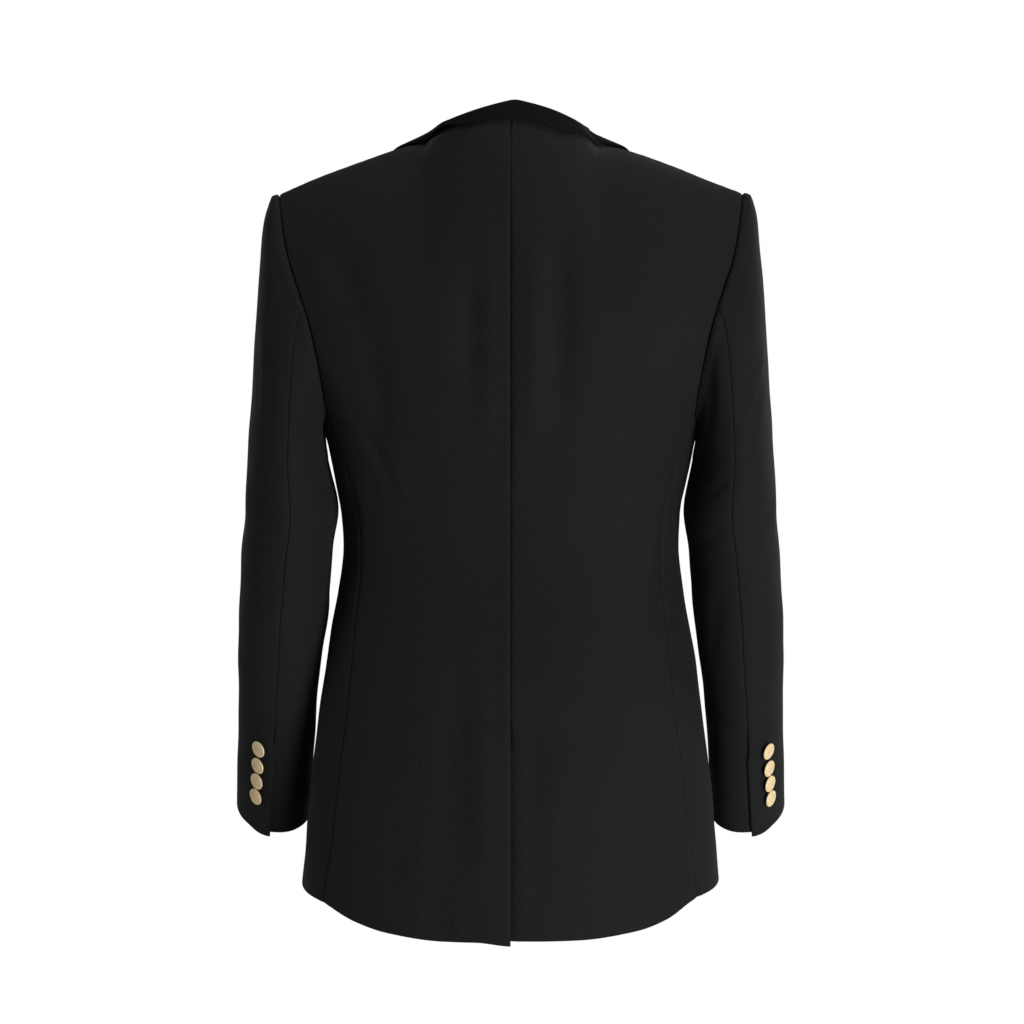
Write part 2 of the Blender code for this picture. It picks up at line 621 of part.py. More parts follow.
def make_sleeve(side, loop, upper, material):
    """The upper sleeve, or the under sleeve that closes it towards the body."""
    rings, ways = sleeve_grid(side, loop)
    count = len(loop)
    if upper:
        picks = list(range(BACK_START, FRONT_START + 1))
    else:
        picks = [k % count for k in range(FRONT_START, BACK_START + count + 1)]
    vent_column = 0 if upper else len(picks) - 1
    outer, inner = [], []
    for i, ring in enumerate(rings):
        z = TUBE[i - len(CAP)] if i >= len(CAP) else 0.0
        lapped = ease(CUFF_VENT_Z, CUFF_VENT_Z - CUFF_VENT_FADE, z)
        held = ease(CUFF_VENT_Z - CUFF_VENT_FADE, CUFF_VENT_Z - 2 * CUFF_VENT_FADE, z)
        row_out, row_in = [], []
        for place, j in enumerate(picks):
            point = ring[j].copy()
            along = (ring[(j + 1) % count] - ring[j - 1]).normalized()
            if place == 0:
                point += along * SEAM / 2
            if place == len(picks) - 1:
                point -= along * SEAM / 2
            near = ease(*CUFF_VENT_COLUMNS, abs(place - vent_column))
            point += ways[i][j] * LAP * near * lapped * (1 if upper else -1)
            if upper and place == vent_column:
                point -= along * CUFF_VENT_LAP * held
            row_out.append(point)
            row_in.append(point - ways[i][j] * CLOTH)
        outer.append(row_out)
        inner.append(row_in)
    name = ("upper" if upper else "under") + "_sleeve_" + ("left" if side == LEFT else "right")
    return wall(name, outer, inner, material)


# ---- collar and lapels ----------------------------------------------------------------

def neck_edge(side, back, front):
    """Half of the collar's seam, from the nape to the gorge: share of it, place and way out."""
    outer, inner = back
    first = len(outer[0]) - len(BACK_COLUMNS)
    corners = [(outer[-1][c], inner[-1][c])
               for c in range(first, first + BACK_COLUMNS.index(NECK_X))]
    outer, inner = front
    top = len(LEVELS) - 1
    rows = range(top, len(LOWER) + GORGE_LEVEL - 1, -1)
    corners += [(outer[r][0], inner[r][0]) for r in rows]
    places, outs = [], []
    for (place, under), (next_place, next_under) in zip(corners, corners[1:] + corners[-1:]):
        count = max(1, ceil((next_place - place).length / COLLAR_STEP))
        for k in range(count):
            places.append(place.lerp(next_place, k / count))
            outs.append((place - under).lerp(next_place - next_under, k / count).normalized())
    frames = []
    last = len(places) - 1
    for k, (place, out) in enumerate(zip(places, outs)):
        along = (places[min(k + 1, last)] - places[min(k, last - 1)]).normalized()
        along += (places[max(k, 1)] - places[max(k - 1, 0)]).normalized()
        on = out.cross(along).normalized() * side
        frames.append((place + on * NECK_GAP * 2 / along.length, out))
    return list(zip(lengths(places), frames))


def kept_clear(point, space):
    """A point moved out, where needed, so that it clears the form of the body by a space."""
    face = BEHIND if point.y < 0 else BEFORE
    for _ in range(2):
        way = slope(point, face)
        short = space - hollow(*point, face) / way.length
        if short > 0:
            point = point + way.normalized() * short
    return point


def collar_column(side, share, frame):
    """Neck seam point and seen face of the collar at a share of the neck edge."""
    seam, out_there = frame
    x, y, z, edge_x, edge_y = (curve(COLLAR, share, k) for k in range(1, 6))
    sway = COLLAR_SWAY * ease(*SWAY_SHARES, share)
    roll = Vector((side * x + sway, y, z))
    ahead, behind = (Vector((side * curve(COLLAR, at, 1), curve(COLLAR, at, 2), 0))
                     for at in (share + COLLAR_PROBE, share - COLLAR_PROBE))
    out = (ahead - behind).cross(Vector((0, 0, side))).normalized()
    down = Vector((0, 0, COLLAR_ROLL))
    stand_top = roll - out * COLLAR_ROLL - down
    fall_top = kept_clear(roll + out * COLLAR_ROLL - down, CLOTH + REST)
    spot = on_shoulder(side * edge_x + sway, edge_y)
    edge = spot + normal(spot, BEHIND if edge_y < 0 else BEFORE) * (CLOTH + REST)
    fall = [fall_top.lerp(edge, part) for part in COLLAR_PARTS[1:]]
    if share == 1:
        meet_x = mix(GORGE_X, LAPEL[-1][1], GORGE_SHARE)
        meet_z = mix(GORGE_Z, LAPEL[-1][2], GORGE_SHARE) + GORGE_GAP
        meet = body_point(side, meet_x, meet_z, BEFORE, CLOTH + REST)
        fall = [fall_top.lerp(meet, 0.5), meet]
    fall = [kept_clear(point, CLOTH + REST) for point in fall]
    base = seam - out_there * CLOTH
    return seam, [base, base.lerp(stand_top, COLLAR_PARTS[0]), stand_top, roll, fall_top] + fall + [edge]


def make_collar(left, right, material):
    """The collar: a stand from the neck seam up to the roll, and a fall over the shoulders."""
    columns = [collar_column(LEFT, share, frame) for share, frame in left[::-1]]
    columns += [collar_column(RIGHT, share, frame) for share, frame in right]
    last = len(columns) - 1
    seen, hidden = [], []
    for i, (seam, column) in enumerate(columns):
        row = [seam]
        for m in range(1, len(column)):
            across = column[min(m + 1, len(column) - 1)] - column[m - 1]
            along = columns[min(i + 1, last)][1][m] - columns[max(i - 1, 0)][1][m]
            row.append(column[m] - across.cross(along).normalized() * CLOTH)
        seen.append(column)
        hidden.append(row)
    wall("collar", seen, hidden, material)


def front_lift(side, x, z):
    """The right front laps over the left one below the break."""
    return side * LAP * ease(LAP_FADE, OVERLAP + 0.002, x) * ease(*FRONT_LAP_Z, z)


def lapel_point(side, share, column):
    """Place of a lapel, at a share of its roll line and a column across it."""
    edge_share = share
    if side == LEFT:                    # its foot ends where the right front covers it
        edge_share = mix(LEFT_FOOT[1], 1, share)
        share = mix(LEFT_FOOT[0], 1, share)
    roll_z = mix(BREAK_Z, GORGE_Z - GORGE_GAP, share)
    roll = Vector((open_edge(roll_z), 0, roll_z))
    edge = Vector((curve(LAPEL, edge_share, 1), 0, curve(LAPEL, edge_share, 2)))
    way = (edge - roll).normalized()
    if column < len(LAPEL_ROLL):
        far, lift, under_far, under_lift = LAPEL_ROLL[column]
        spots = ((roll + way * far, lift), (roll + way * under_far, under_lift))
    else:
        part, lift = LAPEL_COLUMNS[column - len(LAPEL_ROLL)]
        spot = roll.lerp(edge, part)
        spots = ((spot, lift), (spot, lift - CLOTH))
    points = []
    for spot, lift in spots:
        point = on_face(side * spot.x, spot.z, BEFORE)
        lift += fold(point, BEFORE) + front_lift(side, spot.x, spot.z)
        points.append(point + normal(point, BEFORE) * lift)
    return points


def make_lapel(side, material):
    """The front's facing where it is turned back along the roll line."""
    shares = [k / LAPEL_ROWS for k in range(LAPEL_ROWS + 1)]
    columns = range(len(LAPEL_ROLL) + len(LAPEL_COLUMNS))
    outer, inner = grid(shares, columns, lambda share, column: lapel_point(side, share, column))
    wall("lapel_left" if side == LEFT else "lapel_right", outer, inner, material)


# ---- buttons --------------------------------------------------------------------------

# Half section of a button, in radii: distance from its middle, height over the cloth.
BUTTON_PROFILE = ((0.00, 0.66), (0.34, 0.63), (0.66, 0.54), (0.84, 0.44), (0.93, 0.47),
                  (1.00, 0.36), (0.90, 0.26), (0.30, 0.24), (0.26, 0.00), (0.00, 0.00))
BUTTON_SIDES = 16
CUFF_BUTTON_LEVELS = {LEFT: (-0.5218, -0.5373, -0.5521, -0.5665),
                      RIGHT: (-0.5261, -0.5426, -0.5571, -0.5712)}
CUFF_BUTTON_PAST = {LEFT: 17, RIGHT: 26}    # degrees from the cuff's vent to its buttons
FRONT_BUTTON_Z = (-0.3450, -0.4450)


def button_mesh(name, radius):
    """Domed button with a raised rim, on a shank."""
    mesh = bpy.data.meshes.new(name)
    shape = bmesh.new()
    rings = []
    for far, height in BUTTON_PROFILE:
        if far == 0:
            rings.append([shape.verts.new((0, 0, height * radius))])
            continue
        rings.append([shape.verts.new((far * radius * cos(tau * k / BUTTON_SIDES),
                                       far * radius * sin(tau * k / BUTTON_SIDES), height * radius))
                      for k in range(BUTTON_SIDES)])
    for a, b in zip(rings, rings[1:]):
        for k in range(BUTTON_SIDES):
            here, after = k, (k + 1) % BUTTON_SIDES
            if len(a) == 1:
                shape.faces.new((a[0], b[here], b[after]))
            elif len(b) == 1:
                shape.faces.new((a[here], b[0], a[after]))
            else:
                shape.faces.new((a[here], b[here], b[after], a[after]))
    bmesh.ops.recalc_face_normals(shape, faces=shape.faces)
    shape.to_mesh(mesh)
    shape.free()
    mesh.materials.append(finish(name, GOLD, 0.3, 1.0))
    return mesh


def place_button(name, radius, cloth, point, out):
    """Set a button on a cloth piece, over a point and facing out."""
    _, place, way, _ = cloth.ray_cast(point + out * radius, -out)
    made = bpy.data.objects.new(name, button_mesh(name, radius))
    made.location = place + way * SEAM
    made.rotation_euler = way.to_track_quat("Z", "Y").to_euler()
    bpy.context.collection.objects.link(made)


def sleeve_frame(side, z, turn):
    """Point of the sleeve below its cap and the way out there."""
    point = sleeve_ring(side, z, turn)
    round_way = sleeve_ring(side, z, turn + 1) - sleeve_ring(side, z, turn - 1)
    down = sleeve_ring(side, z - PROBE, turn) - sleeve_ring(side, z + PROBE, turn)
    return point, down.cross(round_way).normalized() * side


# ---- the whole garment ----------------------------------------------------------------

BLACK_WOOL = (0.012, 0.012, 0.012, 1)
GOLD = (0.62, 0.42, 0.16, 1)


def finish(name, colour, roughness, metallic):
    """Plain finish of one sub-part."""
    material = bpy.data.materials.new(name)
    material.use_nodes = True
    shader = material.node_tree.nodes["Principled BSDF"]
    shader.inputs["Base Color"].default_value = colour
    shader.inputs["Roughness"].default_value = roughness
    shader.inputs["Metallic"].default_value = metallic
    material.diffuse_color = colour
    return material


def wool(name):
    return finish(name, BLACK_WOOL, 0.9, 0.0)


def build():
    for made in list(bpy.data.objects):
        bpy.data.objects.remove(made, do_unlink=True)
    neck_edges, fronts, sleeves = {}, {}, {}
    for side, word in ((LEFT, "left"), (RIGHT, "right")):
        back = make_back(side, wool("back_" + word))
        low = make_side(side, wool("side_" + word))
        fronts[side], front = make_front(side, wool("front_" + word))
        neck_edges[side] = neck_edge(side, back, front)
        loop = armhole(back, front, low)
        sleeves[side] = make_sleeve(side, loop, True, wool("upper_sleeve_" + word))
        make_sleeve(side, loop, False, wool("under_sleeve_" + word))
        make_lapel(side, wool("lapel_" + word))
    make_collar(neck_edges[LEFT], neck_edges[RIGHT], wool("collar"))
    bpy.context.view_layer.update()
    for side, word in ((LEFT, "left"), (RIGHT, "right")):
        for number, z in enumerate(CUFF_BUTTON_LEVELS[side], 1):
            point, out = sleeve_frame(side, z, curve(SLEEVE, z, 7) + CUFF_BUTTON_PAST[side])
            place_button(f"cuff_button_{word}_{number}", BUTTON, sleeves[side], point, out)
    for number, z in enumerate(FRONT_BUTTON_Z, 1):
        point = on_face(0.0, z, BEFORE)
        place_button(f"front_button_{number}", FRONT_BUTTON, fronts[RIGHT], point,
                     normal(point, BEFORE))


build()
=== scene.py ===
"""A black wool blazer seen from behind: the cloth, buttons and studio over its CAD frame.

Metres, +Z up. The garment's back faces -Y and the wearer's right is +X.
"""
from math import cos, pi, radians, sin, tau

import bpy
import numpy as np
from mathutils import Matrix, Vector


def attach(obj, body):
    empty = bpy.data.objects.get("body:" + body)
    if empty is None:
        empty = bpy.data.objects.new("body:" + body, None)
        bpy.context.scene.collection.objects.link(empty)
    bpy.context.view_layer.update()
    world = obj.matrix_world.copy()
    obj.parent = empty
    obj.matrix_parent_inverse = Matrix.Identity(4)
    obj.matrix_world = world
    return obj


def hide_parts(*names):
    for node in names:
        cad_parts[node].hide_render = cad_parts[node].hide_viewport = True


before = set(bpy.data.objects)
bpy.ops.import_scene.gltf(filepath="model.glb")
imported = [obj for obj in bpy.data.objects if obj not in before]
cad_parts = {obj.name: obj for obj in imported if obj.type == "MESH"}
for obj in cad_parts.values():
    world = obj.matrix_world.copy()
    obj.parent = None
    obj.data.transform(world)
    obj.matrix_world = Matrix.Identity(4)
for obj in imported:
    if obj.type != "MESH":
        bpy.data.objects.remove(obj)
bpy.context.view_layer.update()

bl_info = {
    "name": "Blazer",
    "version": (1, 0, 0),
    "blender": (4, 5, 0),
    "location": "View3D > Sidebar > Blazer",
    "description": "Dresses the blazer in its cloth, sewing and buttons, and sets up the studio",
    "category": "Object",
}

CLOTH = 0.0020          # thickness of a cloth wall
SEAM = 0.0003           # space between two pieces at a seam
LAP = 0.00135           # how far a lapping edge is lifted, and a lapped one sunk
LEFT, RIGHT = -1, 1     # the wearer's sides, along X
BEHIND, BEFORE = -1, 1  # the faces of the body, along Y
SIDES = ((LEFT, "left"), (RIGHT, "right"))
SQUARE = 2.2            # squareness of the body's sections

# The body, a row a level: height, half width, depth behind, depth before.
BODY = (
    (-0.720, 0.1870, 0.1270, 0.1180), (-0.652, 0.1820, 0.1230, 0.1160),
    (-0.560, 0.1735, 0.1160, 0.1120), (-0.494, 0.1650, 0.1040, 0.1060),
    (-0.433, 0.1560, 0.0890, 0.0980), (-0.400, 0.1500, 0.0820, 0.0940),
    (-0.359, 0.1450, 0.0770, 0.0930), (-0.333, 0.1460, 0.0780, 0.0980),
    (-0.300, 0.1520, 0.0830, 0.1090), (-0.262, 0.1600, 0.0910, 0.1180),
    (-0.243, 0.1660, 0.0950, 0.1190), (-0.215, 0.1790, 0.0990, 0.1150),
    (-0.168, 0.2040, 0.1010, 0.1030), (-0.110, 0.2130, 0.0980, 0.0960),
    (0.060, 0.2160, 0.0940, 0.0930),
)
SHOULDER_ROUND = 0.150  # height over which the shoulder rounds over to its ridge
HAIR = 0.00001          # keeps a point just under that ridge

# The shoulder seam, from the neck to the sleeve: distance from the centre, height.
RIDGE = ((0.072, -0.0125), (0.102, -0.0192), (0.150, -0.0368), (0.198, -0.0562), (0.240, -0.0755))
NECK_X, NECK_Z = RIDGE[0]
TIP_X, TIP_Z = RIDGE[3]
NAPE_Z = 0.011          # neck seam at the centre back
NAPE_RISE = 0.065       # the back's ridge rises so far above the neck point at the centre
NAPE_ROUND = 0.016      # how softly it then runs out into the shoulder
NAPE_FADE = 0.012       # depth under the ridge over which that rounding comes in
NECK_CURVE = 2.2        # power of the neck seam's curve from the nape to the neck point
SHOULDER_SLOPE = 0.223  # slope of the shoulder at the neck point
THROAT_RISE = 0.20      # slope of the front's ridge inside the neck point

# The armhole from the side seams up to the shoulder tip: height, distance from the centre.
ARM_Z = -0.243
ARM_DIP = 0.019         # how far the armhole dips below its side seams
ARM_BACK = ((-0.243, 0.1570), (-0.215, 0.1605), (-0.190, 0.1645), (-0.165, 0.1700),
            (-0.135, 0.1800), (-0.110, 0.1885), (-0.084, 0.1940), (-0.0562, 0.1980))
ARM_FRONT = ((-0.243, 0.1569), (-0.215, 0.1560), (-0.190, 0.1590), (-0.160, 0.1660),
             (-0.130, 0.1760), (-0.100, 0.1860), (-0.080, 0.1920), (-0.0562, 0.1980))

# The seam between the back and the side piece: height, distance from the centre.
BACK_SEAM = ((-0.720, 0.1660), (-0.650, 0.1595), (-0.600, 0.1520), (-0.550, 0.1470),
             (-0.500, 0.1405), (-0.435, 0.1345), (-0.376, 0.1287), (-0.352, 0.1280),
             (-0.330, 0.1297), (-0.310, 0.1340), (-0.285, 0.1415), (-0.262, 0.1510),
             (-0.243, 0.1570))
HEM_SEAM_X = BACK_SEAM[1][1]
FRONT_SEAM_TURN = radians(106)  # where the front meets the side piece, round from the centre back

# The hem, round from the centre back: degrees, height on the left, height on the right.
HEM = (
    (0, -0.6808, -0.6802), (25, -0.6810, -0.6800), (45, -0.6765, -0.6755),
    (55, -0.6705, -0.6688), (65, -0.6610, -0.6565), (75, -0.6535, -0.6485),
    (90, -0.6500, -0.6455), (112, -0.6500, -0.6470), (180, -0.6560, -0.6560),
)
HEM_SHARE_Z = HEM[3][1]
CORNER = 0.080          # radius of the fronts' rounded lower corners
CORNER_LEVEL = 0.34     # share of the way up to the armhole at which their rounding has died out

# The front's open edge: below the break it runs straight down past the centre.
BREAK_Z = -0.330        # where the lapels start to turn back
GORGE_X, GORGE_Z = 0.061, -0.050    # where collar and lapel meet on the roll line
GORGE_LEVEL = 0.843     # share of the way from the armhole to the shoulder at the gorge
OVERLAP = 0.018         # how far each front reaches past the centre
THROAT_CURVE = 1.4      # power of the edge's curve between the gorge and the neck point
OVERLAP_FADE = (0.060, OVERLAP + 0.002)     # distances between which its lap comes in
OVERLAP_RISE = (0.15, 0.068)    # and heights over the break between which it does

# The centre back vent; pairs are the distances or heights between which a change comes in.
VENT_Z = -0.4906        # its top
VENT_LAP = 0.035        # width of its hidden part
VENT_SOFT = 0.022       # depth under the top over which the lap comes in
VENT_HIDDEN = 0.025     # depth under the top at which the hidden part starts
VENT_OVER = (0.060, VENT_LAP + 0.003)   # where the left back comes to lie over the right one
VENT_UNDER = (0.030, 0.004)             # and where the right one comes to lie under it
VENT_CORNER = (0.003, 0.030, 0.05)      # drop of the left back's corner, its width, its level

# The step at the centre back seam.
SEAM_STEP = (0.0007, 0.0022, 0.0090)    # its left side's rise, its right side's fall and width
SEAM_RIDGE = (0.0022, 0.0020, 0.4)      # distance, width and least share of the left side's rise
STEP_NECK, STEP_WAIST = (-0.040, -0.110), (-0.230, -0.330)  # heights: it comes in, and softens
STEP_SOFT = 0.35                        # share of it that is left below

# Seam allowances, as strips pressed open inside the body's seams.
ALLOWANCE = 0.009           # their width on each side of the seam
ALLOWANCE_CLOTH = 0.0008    # their thickness
ALLOWANCE_GAP = 0.0003      # space between them and the cloth over them
CENTRE_GAP, ARMHOLE_GAP = 0.0002, 0.0004    # and at the centre back seam and at the armholes
CENTRE_STRIP = (0.0360, 0.0002)         # reach past the vent's top, space below the neck seam
CENTRE_SLANT = (0.004, 0.005, 0.0006)   # its ends slant: from where, over what width, how much
SIDE_STRIP = (0.004, 0.003)             # space over the hem, reach past the armhole's level
SHOULDER_STRIP = (0.003, 0.001)         # space to the neck point and to the shoulder tip
ARMHOLE_STRIP = (-0.0070, 0.0036)       # reach into the body and into the sleeve
STRIP_ROWS = {"centre": 170, "side": 120, "shoulder": 60}
STRIP_COLUMNS = {"centre": 9, "side": 9, "shoulder": 11, "armhole": 8}

# Large soft folds: face of the body, x and z of both ends, width, height.
FOLD_END = 0.25         # share of a fold's length over which it comes in and fades
FOLDS = (
    (BEHIND, -0.145, -0.105, -0.118, -0.178, 0.0120, -0.0038),
    (BEHIND, -0.118, -0.178, -0.108, -0.262, 0.0110, -0.0042),
    (BEHIND, -0.167, -0.100, -0.141, -0.235, 0.0090, 0.0015),
    (BEHIND, -0.033, -0.128, -0.034, -0.204, 0.0110, -0.0036),
    (BEHIND, -0.018, -0.100, -0.019, -0.250, 0.0080, 0.0014),
    (BEHIND, 0.006, -0.095, 0.006, -0.230, 0.0070, -0.0012),
    (BEHIND, 0.022, -0.095, 0.020, -0.250, 0.0090, 0.0014),
    (BEHIND, 0.041, -0.095, 0.040, -0.235, 0.0120, -0.0042),
    (BEHIND, 0.160, -0.125, 0.146, -0.196, 0.0120, -0.0022),
    (BEHIND, -0.046, -0.465, -0.046, -0.625, 0.0140, -0.0030),
    (BEHIND, -0.021, -0.480, -0.022, -0.635, 0.0110, 0.0018),
    (BEHIND, 0.020, -0.490, 0.022, -0.640, 0.0110, -0.0018),
    (BEFORE, -0.120, -0.235, -0.085, -0.310, 0.0130, -0.0025),
    (BEFORE, 0.116, -0.228, 0.088, -0.300, 0.0140, -0.0022),
    (BEFORE, -0.085, -0.390, -0.118, -0.350, 0.0080, -0.0018),
    (BEFORE, 0.070, -0.365, 0.118, -0.345, 0.0080, -0.0020),
    (BEFORE, -0.075, -0.480, -0.080, -0.600, 0.0160, -0.0025),
    (BEFORE, 0.082, -0.490, 0.086, -0.610, 0.0150, -0.0022),
)

# Finer creases: face of the body, path of x and z, width, height.
CREASES = (
    (BEHIND, ((-0.1555, -0.2394), (-0.1404, -0.2459), (-0.1273, -0.2495), (-0.1197, -0.2603),
              (-0.1105, -0.2789), (-0.1021, -0.2968), (-0.0975, -0.3200)), 0.0046, -0.0024),
    (BEHIND, ((-0.0930, -0.2540), (-0.0721, -0.2794), (-0.0520, -0.3080)), 0.0060, -0.0009),
    (BEHIND, ((0.1430, -0.2740), (0.1355, -0.2929), (0.1242, -0.3015), (0.1155, -0.3070),
              (0.1070, -0.3200)), 0.0040, -0.0020),
    (BEHIND, ((0.1483, -0.2911), (0.1412, -0.3059), (0.1270, -0.3149), (0.1180, -0.3290)),
     0.0042, -0.0011),
    (BEHIND, ((0.1380, -0.3000), (0.1290, -0.3300), (0.1262, -0.3650), (0.1300, -0.4000),
              (0.1340, -0.4400)), 0.0036, -0.0009),
    (BEHIND, ((0.1250, -0.3150), (0.1215, -0.3500), (0.1210, -0.3900)), 0.0042, 0.0006),
    (BEHIND, ((-0.1290, -0.2700), (-0.1265, -0.3100), (-0.1235, -0.3500)), 0.0060, 0.0008),
    (BEHIND, ((-0.0040, -0.4150), (-0.0045, -0.4600), (-0.0040, -0.5100)), 0.0042, 0.0007),
    (BEHIND, ((0.1465, -0.5700), (0.1500, -0.6215), (0.1545, -0.6600)), 0.0034, 0.0010),
    (BEHIND, ((-0.1480, -0.5850), (-0.1525, -0.6200), (-0.1560, -0.6550)), 0.0034, 0.0008),
    (BEHIND, ((-0.0760, -0.5600), (-0.0800, -0.6200), (-0.0820, -0.6800)), 0.0100, 0.0010),
    (BEHIND, ((0.0900, -0.5400), (0.0960, -0.6100), (0.0980, -0.6700)), 0.0120, -0.0010),
    (BEHIND, ((-0.0560, -0.0500), (-0.0700, -0.0800), (-0.0760, -0.1200)), 0.0080, -0.0009),
    (BEHIND, ((0.0620, -0.0480), (0.0800, -0.0760), (0.0880, -0.1150)), 0.0090, -0.0008),
    (BEFORE, ((-0.0180, -0.3500), (-0.0550, -0.3380), (-0.0950, -0.3120)), 0.0050, -0.0011),
    (BEFORE, ((-0.0200, -0.3620), (-0.0600, -0.3680), (-0.1050, -0.3900)), 0.0046, -0.0009),
    (BEFORE, ((0.0200, -0.3480), (0.0600, -0.3360), (0.1000, -0.3160)), 0.0048, -0.0012),
    (BEFORE, ((0.0200, -0.3600), (0.0620, -0.3700), (0.1000, -0.3860)), 0.0052, -0.0008),
    (BEFORE, ((-0.1480, -0.2420), (-0.1300, -0.2500), (-0.1130, -0.2720)), 0.0044, -0.0018),
    (BEFORE, ((0.1470, -0.2380), (0.1310, -0.2460), (0.1120, -0.2660)), 0.0048, -0.0016),
    (BEFORE, ((-0.1500, -0.1500), (-0.1400, -0.1900), (-0.1380, -0.2300)), 0.0070, -0.0012),
    (BEFORE, ((0.1520, -0.1450), (0.1410, -0.1850), (0.1370, -0.2280)), 0.0080, -0.0014),
    (BEFORE, ((-0.1250, -0.5200), (-0.1300, -0.5800), (-0.1320, -0.6400)), 0.0080, -0.0010),
    (BEFORE, ((0.1280, -0.5100), (0.1310, -0.5700), (0.1330, -0.6350)), 0.0090, -0.0012),
)

# Long low waves of the cloth: how fast it turns along X, Y and Z, phase, height.
WAVES = (
    (52.0, 31.0, 68.0, 0.4, 0.00024), (-83.0, 44.0, 41.0, 2.1, 0.00018),
    (27.0, -65.0, 112.0, 4.0, 0.00013), (131.0, 22.0, -57.0, 5.2, 0.00009),
    (-61.0, 90.0, 143.0, 1.3, 0.00007),
)

# The sleeve, a row a level: height, centre out, centre forward, half width, half depth,
# degrees of forward lean, turn, back seam and front seam.
SLEEVE = (
    (-0.6000, 0.2108, 0.0590, 0.0324, 0.0465, 20, 14, 294, 128),
    (-0.5500, 0.2078, 0.0435, 0.0330, 0.0475, 19, 12, 289, 128),
    (-0.4910, 0.2042, 0.0265, 0.0345, 0.0495, 17, 8, 281, 129),
    (-0.4500, 0.2006, 0.0155, 0.0372, 0.0515, 13, 4, 275, 130),
    (-0.4070, 0.1966, 0.0060, 0.0394, 0.0545, 8, 0, 270, 130),
    (-0.3630, 0.1934, 0.0010, 0.0394, 0.0570, 4, 0, 268, 130),
    (-0.3280, 0.1894, -0.0010, 0.0400, 0.0600, 2, 0, 267, 130),
    (-0.2850, 0.1923, 0.0000, 0.0350, 0.0640, 0, 0, 265, 130),
)
SLEEVE_TOP_Z, CUFF_Z = SLEEVE[-1][0], SLEEVE[0][0]
CAP_SHARE = 0.4             # share of the sleeve's rows that the cap takes up
BACK_START, FRONT_START = 0.48, 0.12    # armhole levels at which the sleeve's seams start
ARM_STEPS, UNDERARM_STEPS = 81, 41      # points of the armhole's line up a side and under the arm
JUST_INSIDE = 0.99          # a piece's edge seen from a little inside it

# The cap's curve leaves the armhole with a lean forward or back for each depth of the armhole,
# a rise at its foot, more of it at its top, and at least some way on past the seam.
CAP_LEAN, CAP_DEPTH = 0.35, 0.060
CAP_RISE, CAP_RISE_TOP, CAP_ON = 0.10, 0.12, 0.08
CAP_OUT, CAP_OUT_FOOT = 0.0150, 0.28    # its reach out of the armhole, and its foot's share of it
CAP_TILT = 0.07             # how far its lower end tilts towards the body
CAP_FALL = (0.50, 0.94)     # how soon it turns down, at its foot and at its top

# The cuff's vent; pairs are the distances from its edge between which a change comes in.
CUFF_VENT_Z = -0.4984       # its top
CUFF_UNDERLAP = 0.0080      # how far the under sleeve reaches on beneath it
CUFF_HIDDEN = 0.016         # depth under the top at which that hidden part starts
CUFF_VENT_LAP = 0.0020      # how far the upper sleeve laps the under sleeve there
CUFF_SOFT = 0.02            # depth over which the lift comes in, and below it the lap
CUFF_DROP = 0.0028          # how far the cuff's corner at the vent hangs below its hem
CUFF_DROP_ROWS = (0.9, 1.0)     # shares of the sleeve's rows between which that comes in
CUFF_LIFT_EDGE, CUFF_LAP_EDGE, CUFF_DROP_EDGE = (0.024, 0.004), (0.008, 0.0), (0.030, 0.0)

# Large creases of the sleeves: side, height, degrees round, width up, width round, rise.
SLEEVE_FOLDS = (
    (LEFT, -0.305, 235, 0.012, 40, -0.0016), (LEFT, -0.378, 250, 0.010, 45, -0.0014),
    (RIGHT, -0.300, 238, 0.012, 40, -0.0014), (RIGHT, -0.368, 248, 0.011, 45, -0.0014),
    (LEFT, -0.400, 110, 0.011, 50, -0.0026), (RIGHT, -0.392, 112, 0.011, 50, -0.0026),
    (LEFT, -0.440, 95, 0.010, 40, -0.0018), (RIGHT, -0.434, 100, 0.010, 42, -0.0016),
)

